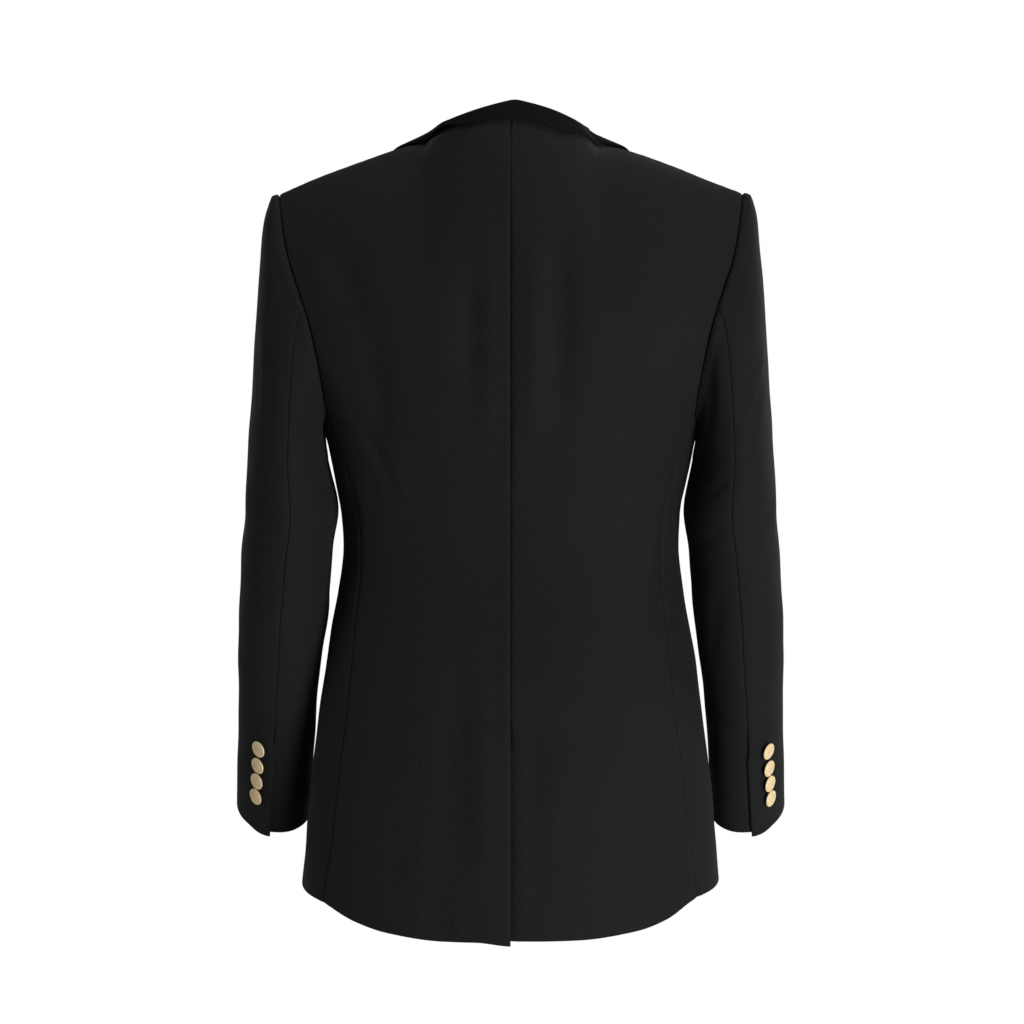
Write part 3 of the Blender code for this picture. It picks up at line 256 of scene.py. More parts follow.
# Finer creases of the sleeves: side, path of degrees round and height, width, rise.
SLEEVE_CREASES = (
    (LEFT, ((318, -0.1700), (309, -0.2050), (303, -0.2350), (300, -0.2600)), 0.0042, 0.0010),
    (LEFT, ((296, -0.2000), (293, -0.2350), (292, -0.2750)), 0.0050, -0.0008),
    (LEFT, ((338, -0.2900), (332, -0.3250), (330, -0.3600)), 0.0050, 0.0008),
    (LEFT, ((318, -0.3150), (300, -0.3300), (280, -0.3380)), 0.0050, -0.0007),
    (LEFT, ((262, -0.3500), (240, -0.3620), (214, -0.3660)), 0.0046, -0.0010),
    (LEFT, ((255, -0.3900), (232, -0.4000), (208, -0.4030)), 0.0050, -0.0008),
    (LEFT, ((250, -0.2100), (240, -0.2500), (232, -0.2900)), 0.0060, -0.0012),
    (LEFT, ((310, -0.4300), (296, -0.4700), (290, -0.5100)), 0.0080, 0.0006),
    (LEFT, ((225, -0.4500), (222, -0.5000), (226, -0.5500)), 0.0070, -0.0007),
    (LEFT, ((150, -0.3600), (120, -0.3680), (80, -0.3620)), 0.0050, -0.0012),
    (LEFT, ((160, -0.4000), (130, -0.4120), (86, -0.4180)), 0.0052, -0.0016),
    (LEFT, ((140, -0.4330), (110, -0.4450), (70, -0.4400)), 0.0046, -0.0010),
    (RIGHT, ((322, -0.2100), (306, -0.2280), (292, -0.2550), (284, -0.2800)), 0.0050, -0.0010),
    (RIGHT, ((330, -0.1800), (318, -0.2000), (306, -0.2150)), 0.0050, 0.0008),
    (RIGHT, ((242, -0.1700), (236, -0.2100), (230, -0.2600)), 0.0060, -0.0014),
    (RIGHT, ((258, -0.2950), (240, -0.3080), (216, -0.3120)), 0.0046, -0.0010),
    (RIGHT, ((262, -0.3350), (238, -0.3480), (206, -0.3520)), 0.0050, -0.0009),
    (RIGHT, ((330, -0.3150), (310, -0.3320), (292, -0.3400)), 0.0046, -0.0008),
    (RIGHT, ((340, -0.2950), (334, -0.3350), (332, -0.3700)), 0.0060, 0.0007),
    (RIGHT, ((252, -0.3850), (236, -0.4200), (232, -0.4600)), 0.0070, -0.0009),
    (RIGHT, ((228, -0.4900), (224, -0.5300), (230, -0.5700)), 0.0070, -0.0006),
    (RIGHT, ((148, -0.3520), (118, -0.3600), (78, -0.3580)), 0.0050, -0.0014),
    (RIGHT, ((158, -0.3960), (126, -0.4060), (84, -0.4120)), 0.0048, -0.0015),
    (RIGHT, ((142, -0.4360), (112, -0.4480), (74, -0.4460)), 0.0050, -0.0011),
)
TURN_LENGTH = 0.0008        # metres of cloth to a degree round the sleeve
CAP_SWELL = ((0.0008, 0.0050, 0.0032), (-0.0004, 0.0150, 0.0060))   # rise, distance, width
CAP_SWELL_Z = (ARM_Z, -0.12)    # heights between which the swelling comes in

# The collar, a row a station from the nape to the gorge: share of the neck edge, x, y and z of
# the roll line, then x and y of the fall's edge where it lies on the body.
COLLAR = (
    (-0.06, -0.0110, -0.0613, 0.0215, -0.0130, -0.0678),
    (0.00, 0.0000, -0.0620, 0.0236, 0.0000, -0.0684),
    (0.06, 0.0110, -0.0613, 0.0215, 0.0130, -0.0678),
    (0.17, 0.0310, -0.0550, 0.0158, 0.0365, -0.0622),
    (0.31, 0.0510, -0.0410, 0.0072, 0.0600, -0.0380),
    (0.38, 0.0585, -0.0312, 0.0030, 0.0715, -0.0215),
    (0.45, 0.0640, -0.0210, 0.0000, 0.0835, -0.0095),
    (0.69, 0.0675, 0.0120, -0.0050, 0.1035, 0.0200),
    (0.87, 0.0655, 0.0400, -0.0200, 0.1110, 0.0400),
    (1.00, 0.0600, 0.0635, -0.0450, 0.1060, 0.0597),
)
COLLAR_SWAY = 0.0034    # how far the roll line sits towards the right at the nape
SWAY_SHARES = (0.8, 0.1)    # shares of the neck edge between which that comes in
COLLAR_ROLL = 0.00275   # radius of the roll at the collar's top
STAND_PART, FALL_PARTS = 0.6, (0.35, 0.70)  # where its curve is held on the stand and the fall
SEWN_SHARES = (0.955, 0.995)    # shares between which its end is drawn to the lapel
NECK_STEPS = 49         # points of the neck edge on the back, and on the front
ROLL_STEP = 0.02        # share of the neck edge over which the roll's direction is measured
ROLL_POINT = 30         # points across the stand and the roll; the rest is the fall
# Its stations: even up to a share, their number, then the last of a closer row near the gorge,
# by that row's length and step.
COLLAR_EVEN, COLLAR_STATIONS, COLLAR_LAST, COLLAR_ROW = 0.94, 48, 20, (0.20, 0.004)
REST = 0.0010           # space under a piece that lies on another
NECK_GAP = 0.0009       # space between the neck edge and the collar, as the walls twist there
GORGE_GAP = 0.0010      # space of collar and lapel from the line on which they are sewn
GORGE_SHARE = 0.6       # share of the collar's end that is sewn to the lapel
GORGE_MEET = 0.75       # share of that seam at which the fall's curve meets it

# The lapel's outer edge, from the break to the gorge: share of the way, x, height.
LAPEL = (
    (0.00, -0.0100, -0.3310), (0.15, 0.0050, -0.3080), (0.35, 0.0420, -0.2600),
    (0.60, 0.0830, -0.1920), (0.80, 0.1080, -0.1400), (1.00, 0.1220, -0.0860),
)
# Across the lapel at its roll: distance and lift of its outer face, then of its inner face.
LAPEL_ROLL = ((-0.0023, -0.0008, -0.0003, -0.0008), (-0.0021, 0.0026, -0.0003, 0.0008),
              (0.0012, 0.0048, 0.0014, 0.0026))
# And from there to its edge: share of the way, lift of the outer face.
LAPEL_COLUMNS = ((0.22, 0.0049), (0.48, 0.0040), (0.75, 0.0034), (1.00, 0.0031))
# The left lapel's foot ends under the right front: shares of its roll line and of its edge.
LEFT_LAPEL = (0.28, 0.20)
LAPEL_LENGTH, LAPEL_STEP = 0.30, 0.0045     # by which its rows are counted

BUTTON = 0.0075             # radius of a cuff button
FRONT_BUTTON = 0.0100       # radius of a front button
CUFF_BUTTON_LEVELS = {LEFT: (-0.5218, -0.5373, -0.5521, -0.5665),
                      RIGHT: (-0.5261, -0.5426, -0.5571, -0.5712)}
CUFF_BUTTON_PAST = {LEFT: 17, RIGHT: 26}    # degrees from the cuff's vent to its buttons
CUFF_BUTTON_LEAN = (0.16, -0.05)    # how far they lean on their shanks, outward and down
FRONT_BUTTON_Z = (-0.3450, -0.4450)

STEP = 0.0036               # distance between two rows of a cloth mesh
FINE = np.array((0, 0.00012, 0.0003, 0.0006, 0.00095, 0.0016, 0.0026))     # rows at an edge
OPEN_ROUND = (0.00120, 0.00095)     # width and depth of an open edge's rounding
SEAM_ROUND = (0.00230, 0.00080)     # and of an edge that is sewn to another piece
BODY_EDGES = {"start": SEAM_ROUND, "stop": SEAM_ROUND, "foot": OPEN_ROUND, "head": SEAM_ROUND}
FRONT_EDGES = {**BODY_EDGES, "start": OPEN_ROUND}
SLEEVE_EDGES = {**BODY_EDGES, "foot": SEAM_ROUND, "head": OPEN_ROUND}
COLLAR_EDGES = {"stop": OPEN_ROUND, "foot": OPEN_ROUND, "head": OPEN_ROUND}
SWELL = (0.00028, 0.0046, 0.0026)   # the ridge along a pressed seam: rise, distance, width
PUCKER = (0.00010, 0.0088, 0.0050)  # the ripples along it: rise, length, width
PUCKER_DRIFT = (2.4, 0.037)         # how far their phase drifts, and over what length
BANK, BANK_FAR = 0.30, 2    # the low banks along a crease: share of its height, widths away
CREASE_FADE = 0.8           # power with which a crease fades at both ends
CREASE_STEPS, COLLAR_STEPS, LAPEL_STEPS = 5, 7, 9   # steps between two points of a smooth line
TRIES = 301                 # places tried along each line when a grid is evened
NORMAL_STEP = 0.0004        # step at which a surface's slope is measured
SLEEVE_STEP = 0.002         # and the same on a sleeve, as a share of its rows and columns
SPOT_STEP = 0.002           # and under a cuff button, with a degree round the sleeve
LAP_STEP, UNDERLAP_STEP = 0.005, 0.003      # distance between columns on the hidden laps

# Height and width by which the rows and columns of a piece's grid are counted.
BACK_SIZE, SIDE_SIZE, FRONT_SIZE = (0.72, 0.17), (0.42, 0.12), (0.66, 0.17)
UPPER_SIZE, UNDER_SIZE = (0.50, 0.15), (0.50, 0.12)


# ---- tables and grids -----------------------------------------------------------------

def read(table, at, column=1):
    """Smooth values of one column of a table, whose rows run up in their first column."""
    rows = np.array(table, float)
    keys, values = rows[:, 0], rows[:, column]
    steps, rises = np.diff(keys), np.diff(values)
    rates = rises / steps
    before, after = rates[:-1], rates[1:]
    total = np.where(before * after > 0, before + after, 1.0)
    slopes = np.concatenate((rates[:1], np.where(before * after > 0, 2 * before * after / total, 0),
                             rates[-1:]))
    at = np.clip(at, keys[0], keys[-1])
    i = np.clip(np.searchsorted(keys, at, side="right") - 1, 0, len(keys) - 2)
    t = (at - keys[i]) / steps[i]
    a, b = slopes[i] * steps[i], slopes[i + 1] * steps[i]
    return values[i] + t * (a + t * (3 * rises[i] - 2 * a - b + t * (a + b - 2 * rises[i])))


def ease(low, high, at):
    """Soft step from 0 at low to 1 at high."""
    t = np.clip((at - low) / (high - low), 0, 1)
    return t * t * (3 - 2 * t)


def mix(a, b, share):
    """Value at a share of the way from a to b."""
    return a + (b - a) * share


def stack(x, y, z):
    """Points from their coordinates."""
    return np.stack(np.broadcast_arrays(x, y, z), axis=-1).astype(float)


def unit(ways):
    """Ways of length 1."""
    return ways / np.maximum(np.linalg.norm(ways, axis=-1, keepdims=True), 1e-12)


def run(points, axis):
    """Distance along the lines of a grid of points, from its first row or column."""
    steps = np.linalg.norm(np.diff(points, axis=axis), axis=-1)
    start = np.zeros_like(np.take(steps, [0], axis=axis))
    return np.concatenate((start, np.cumsum(steps, axis=axis)), axis=axis)


def sampled(at, keys, points):
    """Points read between the rows of a list of points."""
    return np.stack([np.interp(at, keys, points[:, k]) for k in range(3)], -1)


def spaced(length, step=STEP):
    """Distances along a line, even in its middle and closer at its ends."""
    count = max(2, round((length - 2 * FINE[-1]) / step) + 1)
    middle = np.linspace(FINE[-1], length - FINE[-1], count)
    return np.concatenate((FINE[:-1], middle, length - FINE[-2::-1]))


def stretched(places, length):
    """The places of spaced() on a line of another length, as close at its ends."""
    edge = FINE[-1]
    share = (places - edge) / (places[-1] - 2 * edge)
    middle = edge + share * (length - 2 * edge)
    middle = np.where(places < edge, places, middle)
    return np.where(share > 1, length - (places[-1] - places), middle)


def spread(place, tall, wide, step=STEP):
    """Shares up and across of a grid that is even over a surface and closer at its edges."""
    tries = np.linspace(0, 1, TRIES)
    rows, columns = spaced(tall, step), spaced(wide, step)
    shares = columns / wide
    up, across = np.meshgrid(tries, shares, indexing="ij")
    far = run(place(up, across), 0)
    up = np.stack([np.interp(stretched(rows, far[-1, c]), far[:, c], tries)
                   for c in range(len(shares))], axis=1)
    across = np.broadcast_to(shares, up.shape)
    far = run(place(up, across), 1)
    new_up, new_across = np.empty_like(up), np.empty_like(up)
    for r in range(len(rows)):
        new_across[r] = np.interp(stretched(columns, far[r, -1]), far[r], shares)
        new_up[r] = np.interp(new_across[r], shares, up[r])
    return new_up, new_across


# ---- the form of the body -------------------------------------------------------------

def ridge(x, face):
    """Height at which the shoulder would round over, at a distance from the centre."""
    x = np.abs(x)
    if face == BEHIND:
        inside = NECK_Z + NAPE_RISE * (1 - (x / NECK_X) ** 2)
    else:
        inside = NECK_Z + THROAT_RISE * (NECK_X - x)
    return np.where(x >= NECK_X, read(RIDGE, x), inside)


def filled(x, z, face):
    """Height of the shoulder's ridge for a point; the hollow by the neck point is rounded out."""
    top = ridge(x, face)
    if face == BEFORE:
        return top
    far = np.abs(x)
    inner = NECK_Z + NAPE_RISE * (1 - (far / NECK_X) ** 2)
    outer = np.where(far >= NECK_X, top, NECK_Z + (NECK_X - far) * SHOULDER_SLOPE)
    apart = inner - outer
    fill = (np.sqrt(apart ** 2 + NAPE_ROUND ** 2) - np.abs(apart)) / 2
    return top + fill * ease(0.0, NAPE_FADE, top - z)


def depth(x, z, face):
    """Depth of the body at a point, before the shoulder's rounding."""
    inside = np.maximum(0.0, 1 - (np.abs(x) / read(BODY, z, 1)) ** SQUARE)
    return read(BODY, z, 2 if face == BEHIND else 3) * inside ** (1 / SQUARE)


def on_face(x, z, face):
    """Point of the form on its back or front, at a distance from the centre and a height."""
    x, z = np.broadcast_arrays(np.asarray(x, float), np.asarray(z, float))
    z = np.minimum(z, ridge(x, face))
    under = np.clip((filled(x, z, face) - z) / SHOULDER_ROUND, 0, 1)
    reach = np.maximum(SEAM / 2, depth(x, z, face) * np.sqrt(1 - (1 - under) ** 2))
    return stack(x, face * reach, z)


def around(turn, z):
    """Point of the form at an angle round from the centre back."""
    deep = np.where(np.cos(turn) > 0, read(BODY, z, 2), read(BODY, z, 3))
    across = np.abs(np.sin(turn) / read(BODY, z, 1)) ** SQUARE
    reach = (across + np.abs(np.cos(turn) / deep) ** SQUARE) ** (-1 / SQUARE)
    return stack(reach * np.sin(turn), -reach * np.cos(turn), z)


def hollow(x, y, z, behind):
    """Below 0 inside the form, above 0 outside, and smooth over its surface."""
    top = np.where(behind, filled(x, z, BEHIND), filled(x, z, BEFORE))
    deep = np.where(behind, read(BODY, z, 2), read(BODY, z, 3))
    below = (top - z) / SHOULDER_ROUND
    inside = np.maximum(1e-9, 1 - (np.abs(x) / read(BODY, z, 1)) ** SQUARE)
    rounded = (y / (deep * inside ** (1 / SQUARE))) ** 2 + (1 - below) ** 2 - 1
    plain = (np.abs(x) / read(BODY, z, 1)) ** SQUARE + (np.abs(y) / deep) ** SQUARE - 1
    return np.where(below < 1, rounded, plain)


def slope(points, behind):
    """Way in which the hollow's value grows at points, and how fast."""
    x, y, z = np.moveaxis(points, -1, 0)
    e = NORMAL_STEP
    return stack(hollow(x + e, y, z, behind) - hollow(x - e, y, z, behind),
                 hollow(x, y + e, z, behind) - hollow(x, y - e, z, behind),
                 hollow(x, y, z + e, behind) - hollow(x, y, z - e, behind)) / (2 * e)


def on_front(x, z):
    """Point of the form's front, and the way out of it there."""
    point = on_face(x, z, BEFORE)
    return point, unit(slope(point, False))


def on_shoulder(x, y):
    """Point of the rounded shoulder at a place seen from above."""
    face = BEHIND if y < 0 else BEFORE
    z = ridge(x, face)
    for _ in range(4):
        under = 1 - np.sqrt(1 - np.minimum(1.0, np.abs(y) / depth(x, z, face)) ** 2)
        z = ridge(x, face) - SHOULDER_ROUND * under
    return np.array((x, y, float(z)))


def folds(points, behind):
    """Height of the large folds at points of the form."""
    x, _, z = np.moveaxis(points, -1, 0)
    height = np.zeros_like(x)
    for side, x0, z0, x1, z1, width, rise in FOLDS:
        long_x, long_z = x1 - x0, z1 - z0
        share = ((x - x0) * long_x + (z - z0) * long_z) / (long_x ** 2 + long_z ** 2)
        off_x, off_z = x - x0 - share * long_x, z - z0 - share * long_z
        ends = ease(-FOLD_END, FOLD_END, share) * ease(1 + FOLD_END, 1 - FOLD_END, share)
        here = rise * ends * np.exp(-(off_x ** 2 + off_z ** 2) / width ** 2)
        height += np.where(behind == (side == BEHIND), here, 0)
    return height


def through(points, count):
    """Smooth line through points, with count steps between each two of them."""
    points = np.asarray(points, float)
    framed = np.concatenate((2 * points[:1] - points[1:2], points,
                             2 * points[-1:] - points[-2:-1]))
    line = []
    for k in range(len(points) - 1):
        a, b, c, d = framed[k:k + 4]
        for t in np.arange(count) / count:
            line.append(0.5 * (2 * b + (c - a) * t + (2 * a - 5 * b + 4 * c - d) * t ** 2
                               + (3 * b - a - 3 * c + d) * t ** 3))
    return np.array(line + [points[-1]])


def crease(u, v, path, width, rise):
    """Height of one crease, with low banks beside it, fading at both ends of its path."""
    path = through(path, CREASE_STEPS)
    steps = np.diff(path, axis=0)
    lengths = np.linalg.norm(steps, axis=1)
    starts = np.concatenate(([0], np.cumsum(lengths)))
    best, along = np.full(np.shape(u), np.inf), np.zeros(np.shape(u))
    for (from_u, from_v), step, length, start in zip(path, steps, lengths, starts):
        way_u, way_v = step / length
        share = np.clip((u - from_u) * way_u + (v - from_v) * way_v, 0, length)
        far = np.hypot(u - from_u - way_u * share, v - from_v - way_v * share)
        along = np.where(far < best, (start + share) / starts[-1], along)
        best = np.minimum(far, best)
    far = best / width
    trough = np.exp(-far ** 2) - BANK * np.exp(-(far - BANK_FAR) ** 2)
    return rise * np.sin(pi * along) ** CREASE_FADE * trough


def waviness(points):
    """Height of the cloth's long low waves at points."""
    height = np.zeros(points.shape[:-1])
    for wave in WAVES:
        height += wave[4] * np.sin(points @ np.array(wave[:3]) + wave[3])
    return height


def skin(points, behind, lift=0.0):
    """Outer points of the cloth at points of the form, and the ways out of it."""
    out = unit(slope(points, behind))
    x, _, z = np.moveaxis(points, -1, 0)
    rise = folds(points, behind) + waviness(points) + lift
    for side, path, width, height in CREASES:
        rise += np.where(behind == (side == BEHIND), crease(x, z, path, width, height), 0)
    return points + out * np.asarray(rise)[..., None], out


# ---- cloth walls ----------------------------------------------------------------------


def linked(name, data):
    """A new object in the scene."""
    made = bpy.data.objects.new(name, data)
    bpy.context.scene.collection.objects.link(made)
    return made


def cloth_mesh(name, over, under, grain, keep=None):
    """Closed wall between two matching grids, with its grain as a UV map in metres."""
    rows, columns = over.shape[:2]
    if keep is None:
        keep = np.ones((rows - 1, columns - 1), bool)
    index = np.arange(rows * columns).reshape(rows, columns)
    count = rows * columns
    a, b, c, d = index[:-1, :-1], index[:-1, 1:], index[1:, 1:], index[1:, :-1]
    face = np.stack((a, b, c, d), -1)[keep]
    framed = np.pad(keep, 1)
    rims = [np.stack((q, p, p + count, q + count), -1)[keep & ~beyond] for p, q, beyond in (
        (a, b, framed[:-2, 1:-1]), (b, c, framed[1:-1, 2:]),
        (c, d, framed[2:, 1:-1]), (d, a, framed[1:-1, :-2]))]
    quads = np.concatenate([face, face[:, ::-1] + count] + rims)
    places = np.concatenate((over.reshape(-1, 3), under.reshape(-1, 3)))
    grains = np.concatenate((grain.reshape(-1, 2), grain.reshape(-1, 2)))
    used = np.unique(quads)
    lookup = np.zeros(len(places), int)
    lookup[used] = np.arange(len(used))
    quads, places, grains = lookup[quads], places[used], grains[used]
    p, q, r, s = (places[quads[:, k]] for k in range(4))
    volumes = (p * (np.cross(q, r) + np.cross(r, s))).sum(1)
    if volumes.sum() < 0:
        quads = quads[:, ::-1]
    mesh = bpy.data.meshes.new(name)
    mesh.from_pydata(places.tolist(), [], quads.tolist())
    layer = mesh.uv_layers.new(name="grain")
    layer.data.foreach_set("uv", grains[quads.ravel()].astype(np.float32).ravel())
    mesh.polygons.foreach_set("use_smooth", np.ones(len(quads), bool))
    return linked(name + "_cloth", mesh)


def shell(name, outer, out, radii, keep=None):
    """Cloth wall under a grid of outer points, its named edges rounded over."""
    rows, columns = outer.shape[:2]
    across, up = run(outer, 1), run(outer, 0)
    used = np.ones((rows, columns), bool)
    if keep is not None:
        framed = np.pad(keep, 1)
        used = framed[:-1, :-1] | framed[:-1, 1:] | framed[1:, :-1] | framed[1:, 1:]
    first, last = used.argmax(1)[:, None], columns - 1 - used[:, ::-1].argmax(1)[:, None]
    foot, head = used.argmax(0)[None], rows - 1 - used[::-1].argmax(0)[None]
    gaps = {"start": across - np.take_along_axis(across, first, 1),
            "stop": np.take_along_axis(across, last, 1) - across,
            "foot": up - np.take_along_axis(up, foot, 0),
            "head": np.take_along_axis(up, head, 0) - up}
    drop, raise_by = np.zeros((rows, columns)), np.zeros((rows, columns))
    for edge, (wide, deep) in radii.items():
        share = np.clip(1 - gaps[edge] / wide, 0, 1)
        drop = np.maximum(drop, deep * (1 - np.sqrt(1 - share ** 2)))
        if deep == SEAM_ROUND[1]:
            rise, far, width = SWELL
            raise_by += rise * np.exp(-((gaps[edge] - far) / width) ** 2)
            rise, length, width = PUCKER
            along = up if edge in ("start", "stop") else across
            drift, over = PUCKER_DRIFT
            ripple = np.sin(tau * along / length + drift * np.sin(along / over))
            raise_by += rise * ripple * np.exp(-((gaps[edge] - far) / width) ** 2)
    outer = outer + out * raise_by[..., None]
    grain = np.stack((across - across.mean(1, keepdims=True), up), -1)
    return cloth_mesh(name, outer - out * drop[..., None],
                      outer - out * (CLOTH - drop)[..., None], grain, keep)


# ---- body pieces ----------------------------------------------------------------------

def hem_height(side, turn):
    """Height of the hem on one side, at an angle round from the centre back."""
    return read(HEM, turn * 180 / pi, 1 if side == LEFT else 2)


def back_hem(side, x):
    """Height of the back's hem at a distance from the centre."""
    point = on_face(x, HEM_SHARE_Z, BEHIND)
    return hem_height(side, np.arctan2(point[..., 0], -point[..., 1]))


def top_height(x):
    """Height of the back's top edge: the neck seam, then the shoulder seam."""
    inside = NAPE_Z - (NAPE_Z - NECK_Z) * (np.minimum(x, NECK_X) / NECK_X) ** NECK_CURVE
    return np.where(x >= NECK_X, ridge(x, BEHIND), inside)


def level_height(level, hem, top):
    """Height of a level on a grain line; levels run 0 to 1 to the armhole and to 2 above it."""
    return np.where(level > 1, mix(ARM_Z, top, level - 1), mix(hem, ARM_Z, level))


def from_share(share):
    """Level at a share of the height; the upper levels crowd towards the shoulder seam."""
    above = np.clip(2 * share - 1, 0, 1)
    return np.where(share > 0.5, 2 - (1 - above) ** 2, 2 * share)


def vent_lift(side, x, z):
    """Rise of the left back over the right one along the vent, and their step at the seam."""
    low = ease(VENT_Z, VENT_Z - VENT_SOFT, z)
    pressed = (ease(*STEP_NECK, z) * ease(*STEP_WAIST[::-1], z)
               + STEP_SOFT * ease(*STEP_WAIST, z) * (1 - low))
    if side == LEFT:
        far, width, least = SEAM_RIDGE
        rise = SEAM_STEP[0] * np.exp(-((x - far) / width) ** 2) * mix(least, 1, pressed)
        return LAP * ease(*VENT_OVER, x) * low + rise
    near = np.clip(1 - np.maximum(x, 0) / SEAM_STEP[2], 0, 1) ** 2
    return -LAP * ease(*VENT_UNDER, x) * low - near * SEAM_STEP[1] * np.maximum(pressed, low)


def back_form(side, level, x_share):
    """Point of a back piece; a share below 0 is on the vent's lap."""
    seam_hem = back_hem(side, HEM_SEAM_X)
    edge_z = level_height(level, seam_hem, TIP_Z)
    edge_x = np.where(level > 1, read(ARM_BACK, edge_z), read(BACK_SEAM, edge_z) - SEAM / 2)
    share = np.maximum(x_share, 0)
    x = np.where(x_share < 0, x_share * VENT_LAP, SEAM / 2 + share * (edge_x - SEAM / 2))
    z = level_height(level, back_hem(side, share * HEM_SEAM_X), top_height(share * TIP_X))
    if side == LEFT:
        drop, wide, tall = VENT_CORNER
        z = z - drop * ease(wide, 0.0, x) * ease(tall, 0.0, level)
    return on_face(side * x, z, BEHIND), x


def back_skin(side, level, x_share):
    """Outer points of the back's cloth and the ways out of it."""
    points, x = back_form(side, level, x_share)
    return skin(points, True, vent_lift(side, x, points[..., 2]))


def make_back(side, name):
    """Half of the back, from the centre seam to the side piece and the armhole."""
    up, across = spread(lambda u, v: back_form(side, from_share(u), v)[0], *BACK_SIZE)
    if side == LEFT:
        return shell(name, *back_skin(side, from_share(up), across), BODY_EDGES)
    places = spaced(VENT_LAP, LAP_STEP)[:-1] / VENT_LAP - 1
    lap = np.broadcast_to(places, (len(up), len(places)))
    up = np.concatenate((np.broadcast_to(up[:, :1], lap.shape), up), axis=1)
    across = np.concatenate((lap, across), axis=1)
    outer, out = back_skin(side, from_share(up), across)
    keep = np.ones((len(up) - 1, up.shape[1] - 1), bool)
    keep[:, :len(places)] = outer[1:, :1, 2] < VENT_Z - VENT_HIDDEN
    return shell(name, outer, out, BODY_EDGES, keep)


def make_allowance(name, inner, grain, out):
    """The allowances pressed open inside a seam; the strip's outer points are given."""
    made = cloth_mesh(name, inner, inner - out * ALLOWANCE_CLOTH, grain)
    made.data.materials.append(wool())
    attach(made, "root")


def centre_allowance():
    """Inside the centre back seam, down past the vent's top."""
    past, short = CENTRE_STRIP
    z = np.linspace(VENT_Z - past, float(top_height(0.0)) - short, STRIP_ROWS["centre"])
    x = np.linspace(-ALLOWANCE, ALLOWANCE, STRIP_COLUMNS["centre"])
    x, z = np.meshgrid(x, z)
    start, over, fall = CENTRE_SLANT
    slant = np.clip((np.abs(x) - start) / over, 0, 1)
    points = on_face(x, z - fall * slant, BEHIND)
    sunk = vent_lift(RIGHT, np.zeros_like(z), z) - CLOTH - CENTRE_GAP
    inner, out = skin(points, True, sunk)
    make_allowance("back_seam_allowance", inner, np.stack((x, z), -1), out)


def side_allowance(side, word, back):
    """Inside a side seam, from the hem to the armhole."""
    foot = back_hem(side, HEM_SEAM_X) if back else hem_height(side, FRONT_SEAM_TURN)
    space, past = SIDE_STRIP
    z = np.linspace(float(foot) + space, ARM_Z + past, STRIP_ROWS["side"])[:, None]
    seam = (on_face(read(BACK_SEAM, z), z, BEHIND) if back
            else around(np.full_like(z, FRONT_SEAM_TURN), z))
    turn = np.arctan2(seam[..., 0], -seam[..., 1])
    far = np.linspace(-ALLOWANCE, ALLOWANCE, STRIP_COLUMNS["side"])
    points = around(turn + far / np.hypot(seam[..., 0], seam[..., 1]), z + 0 * far)
    points[..., 0] *= side
    inner, out = skin(points, points[..., 1] < 0, -CLOTH - ALLOWANCE_GAP)
    place = "back" if back else "front"
    make_allowance(f"side_{place}_allowance_{word}", inner,
                   np.stack(np.broadcast_arrays(far, z), -1), out)


def shoulder_allowance(side, word):
    """Inside the shoulder seam, from the neck point to the armhole."""
    start, stop = NECK_X + SHOULDER_STRIP[0], TIP_X - SHOULDER_STRIP[1]
    x, far = np.broadcast_arrays(
        np.linspace(start, stop, STRIP_ROWS["shoulder"])[:, None],
        np.linspace(-ALLOWANCE, ALLOWANCE, STRIP_COLUMNS["shoulder"]))
    halves = []
    for face in (BEHIND, BEFORE):
        under = 1 - np.sqrt(1 - np.minimum(1, np.abs(far) / depth(x, ridge(x, face), face)) ** 2)
        points = on_face(side * x, ridge(x, face) - SHOULDER_ROUND * under - HAIR, face)
        halves.append(skin(points, face == BEHIND, -CLOTH - ALLOWANCE_GAP))
    inner, out = (np.where((far < 0)[..., None], a, b) for a, b in zip(*halves))
    make_allowance("shoulder_allowance_" + word, inner, np.stack((x, far), -1), out)


def side_form(side, level, share):
    """Point of a side piece, between the back's and the front's side seams."""
    back_z = level_height(level, back_hem(side, HEM_SEAM_X), ARM_Z)
    seam = on_face(read(BACK_SEAM, back_z), back_z, BEHIND)
    gap = SEAM / 2 / read(BODY, back_z)
    turn = mix(np.arctan2(seam[..., 0], -seam[..., 1]) + gap, FRONT_SEAM_TURN - gap, share)
    hem = mix(back_hem(side, HEM_SEAM_X), hem_height(side, FRONT_SEAM_TURN), share)
    dip = ARM_DIP * (1 - (2 * share - 1) ** 2)
    points = around(turn, mix(hem, ARM_Z - dip, level))
    points[..., 0] *= side
    return points


def side_skin(side, level, share):
    """Outer points of the side piece's cloth and the ways out of it."""
    points = side_form(side, level, share)
    return skin(points, points[..., 1] < 0)


def make_side(side, name):
    """The narrow piece under the arm."""
    up, across = spread(lambda u, v: side_form(side, u, v), *SIDE_SIZE)
    return shell(name, *side_skin(side, up, across), BODY_EDGES)


def open_edge(z):
    """Distance from the centre of a front's open edge, beyond the centre below the break."""
    above = np.clip((NECK_Z - z) / (NECK_Z - GORGE_Z), 0, 1)
    below = np.maximum(0.0, (z - BREAK_Z) / (GORGE_Z - BREAK_Z))
    return np.where(z > GORGE_Z, mix(NECK_X, GORGE_X, above ** THROAT_CURVE),
                    mix(-OVERLAP, GORGE_X, below))


def front_lift(side, x, z):
    """Rise of the right front over the left one below the break."""
    high, low = OVERLAP_RISE
    return side * LAP * ease(*OVERLAP_FADE, x) * ease(BREAK_Z + high, BREAK_Z + low, z)


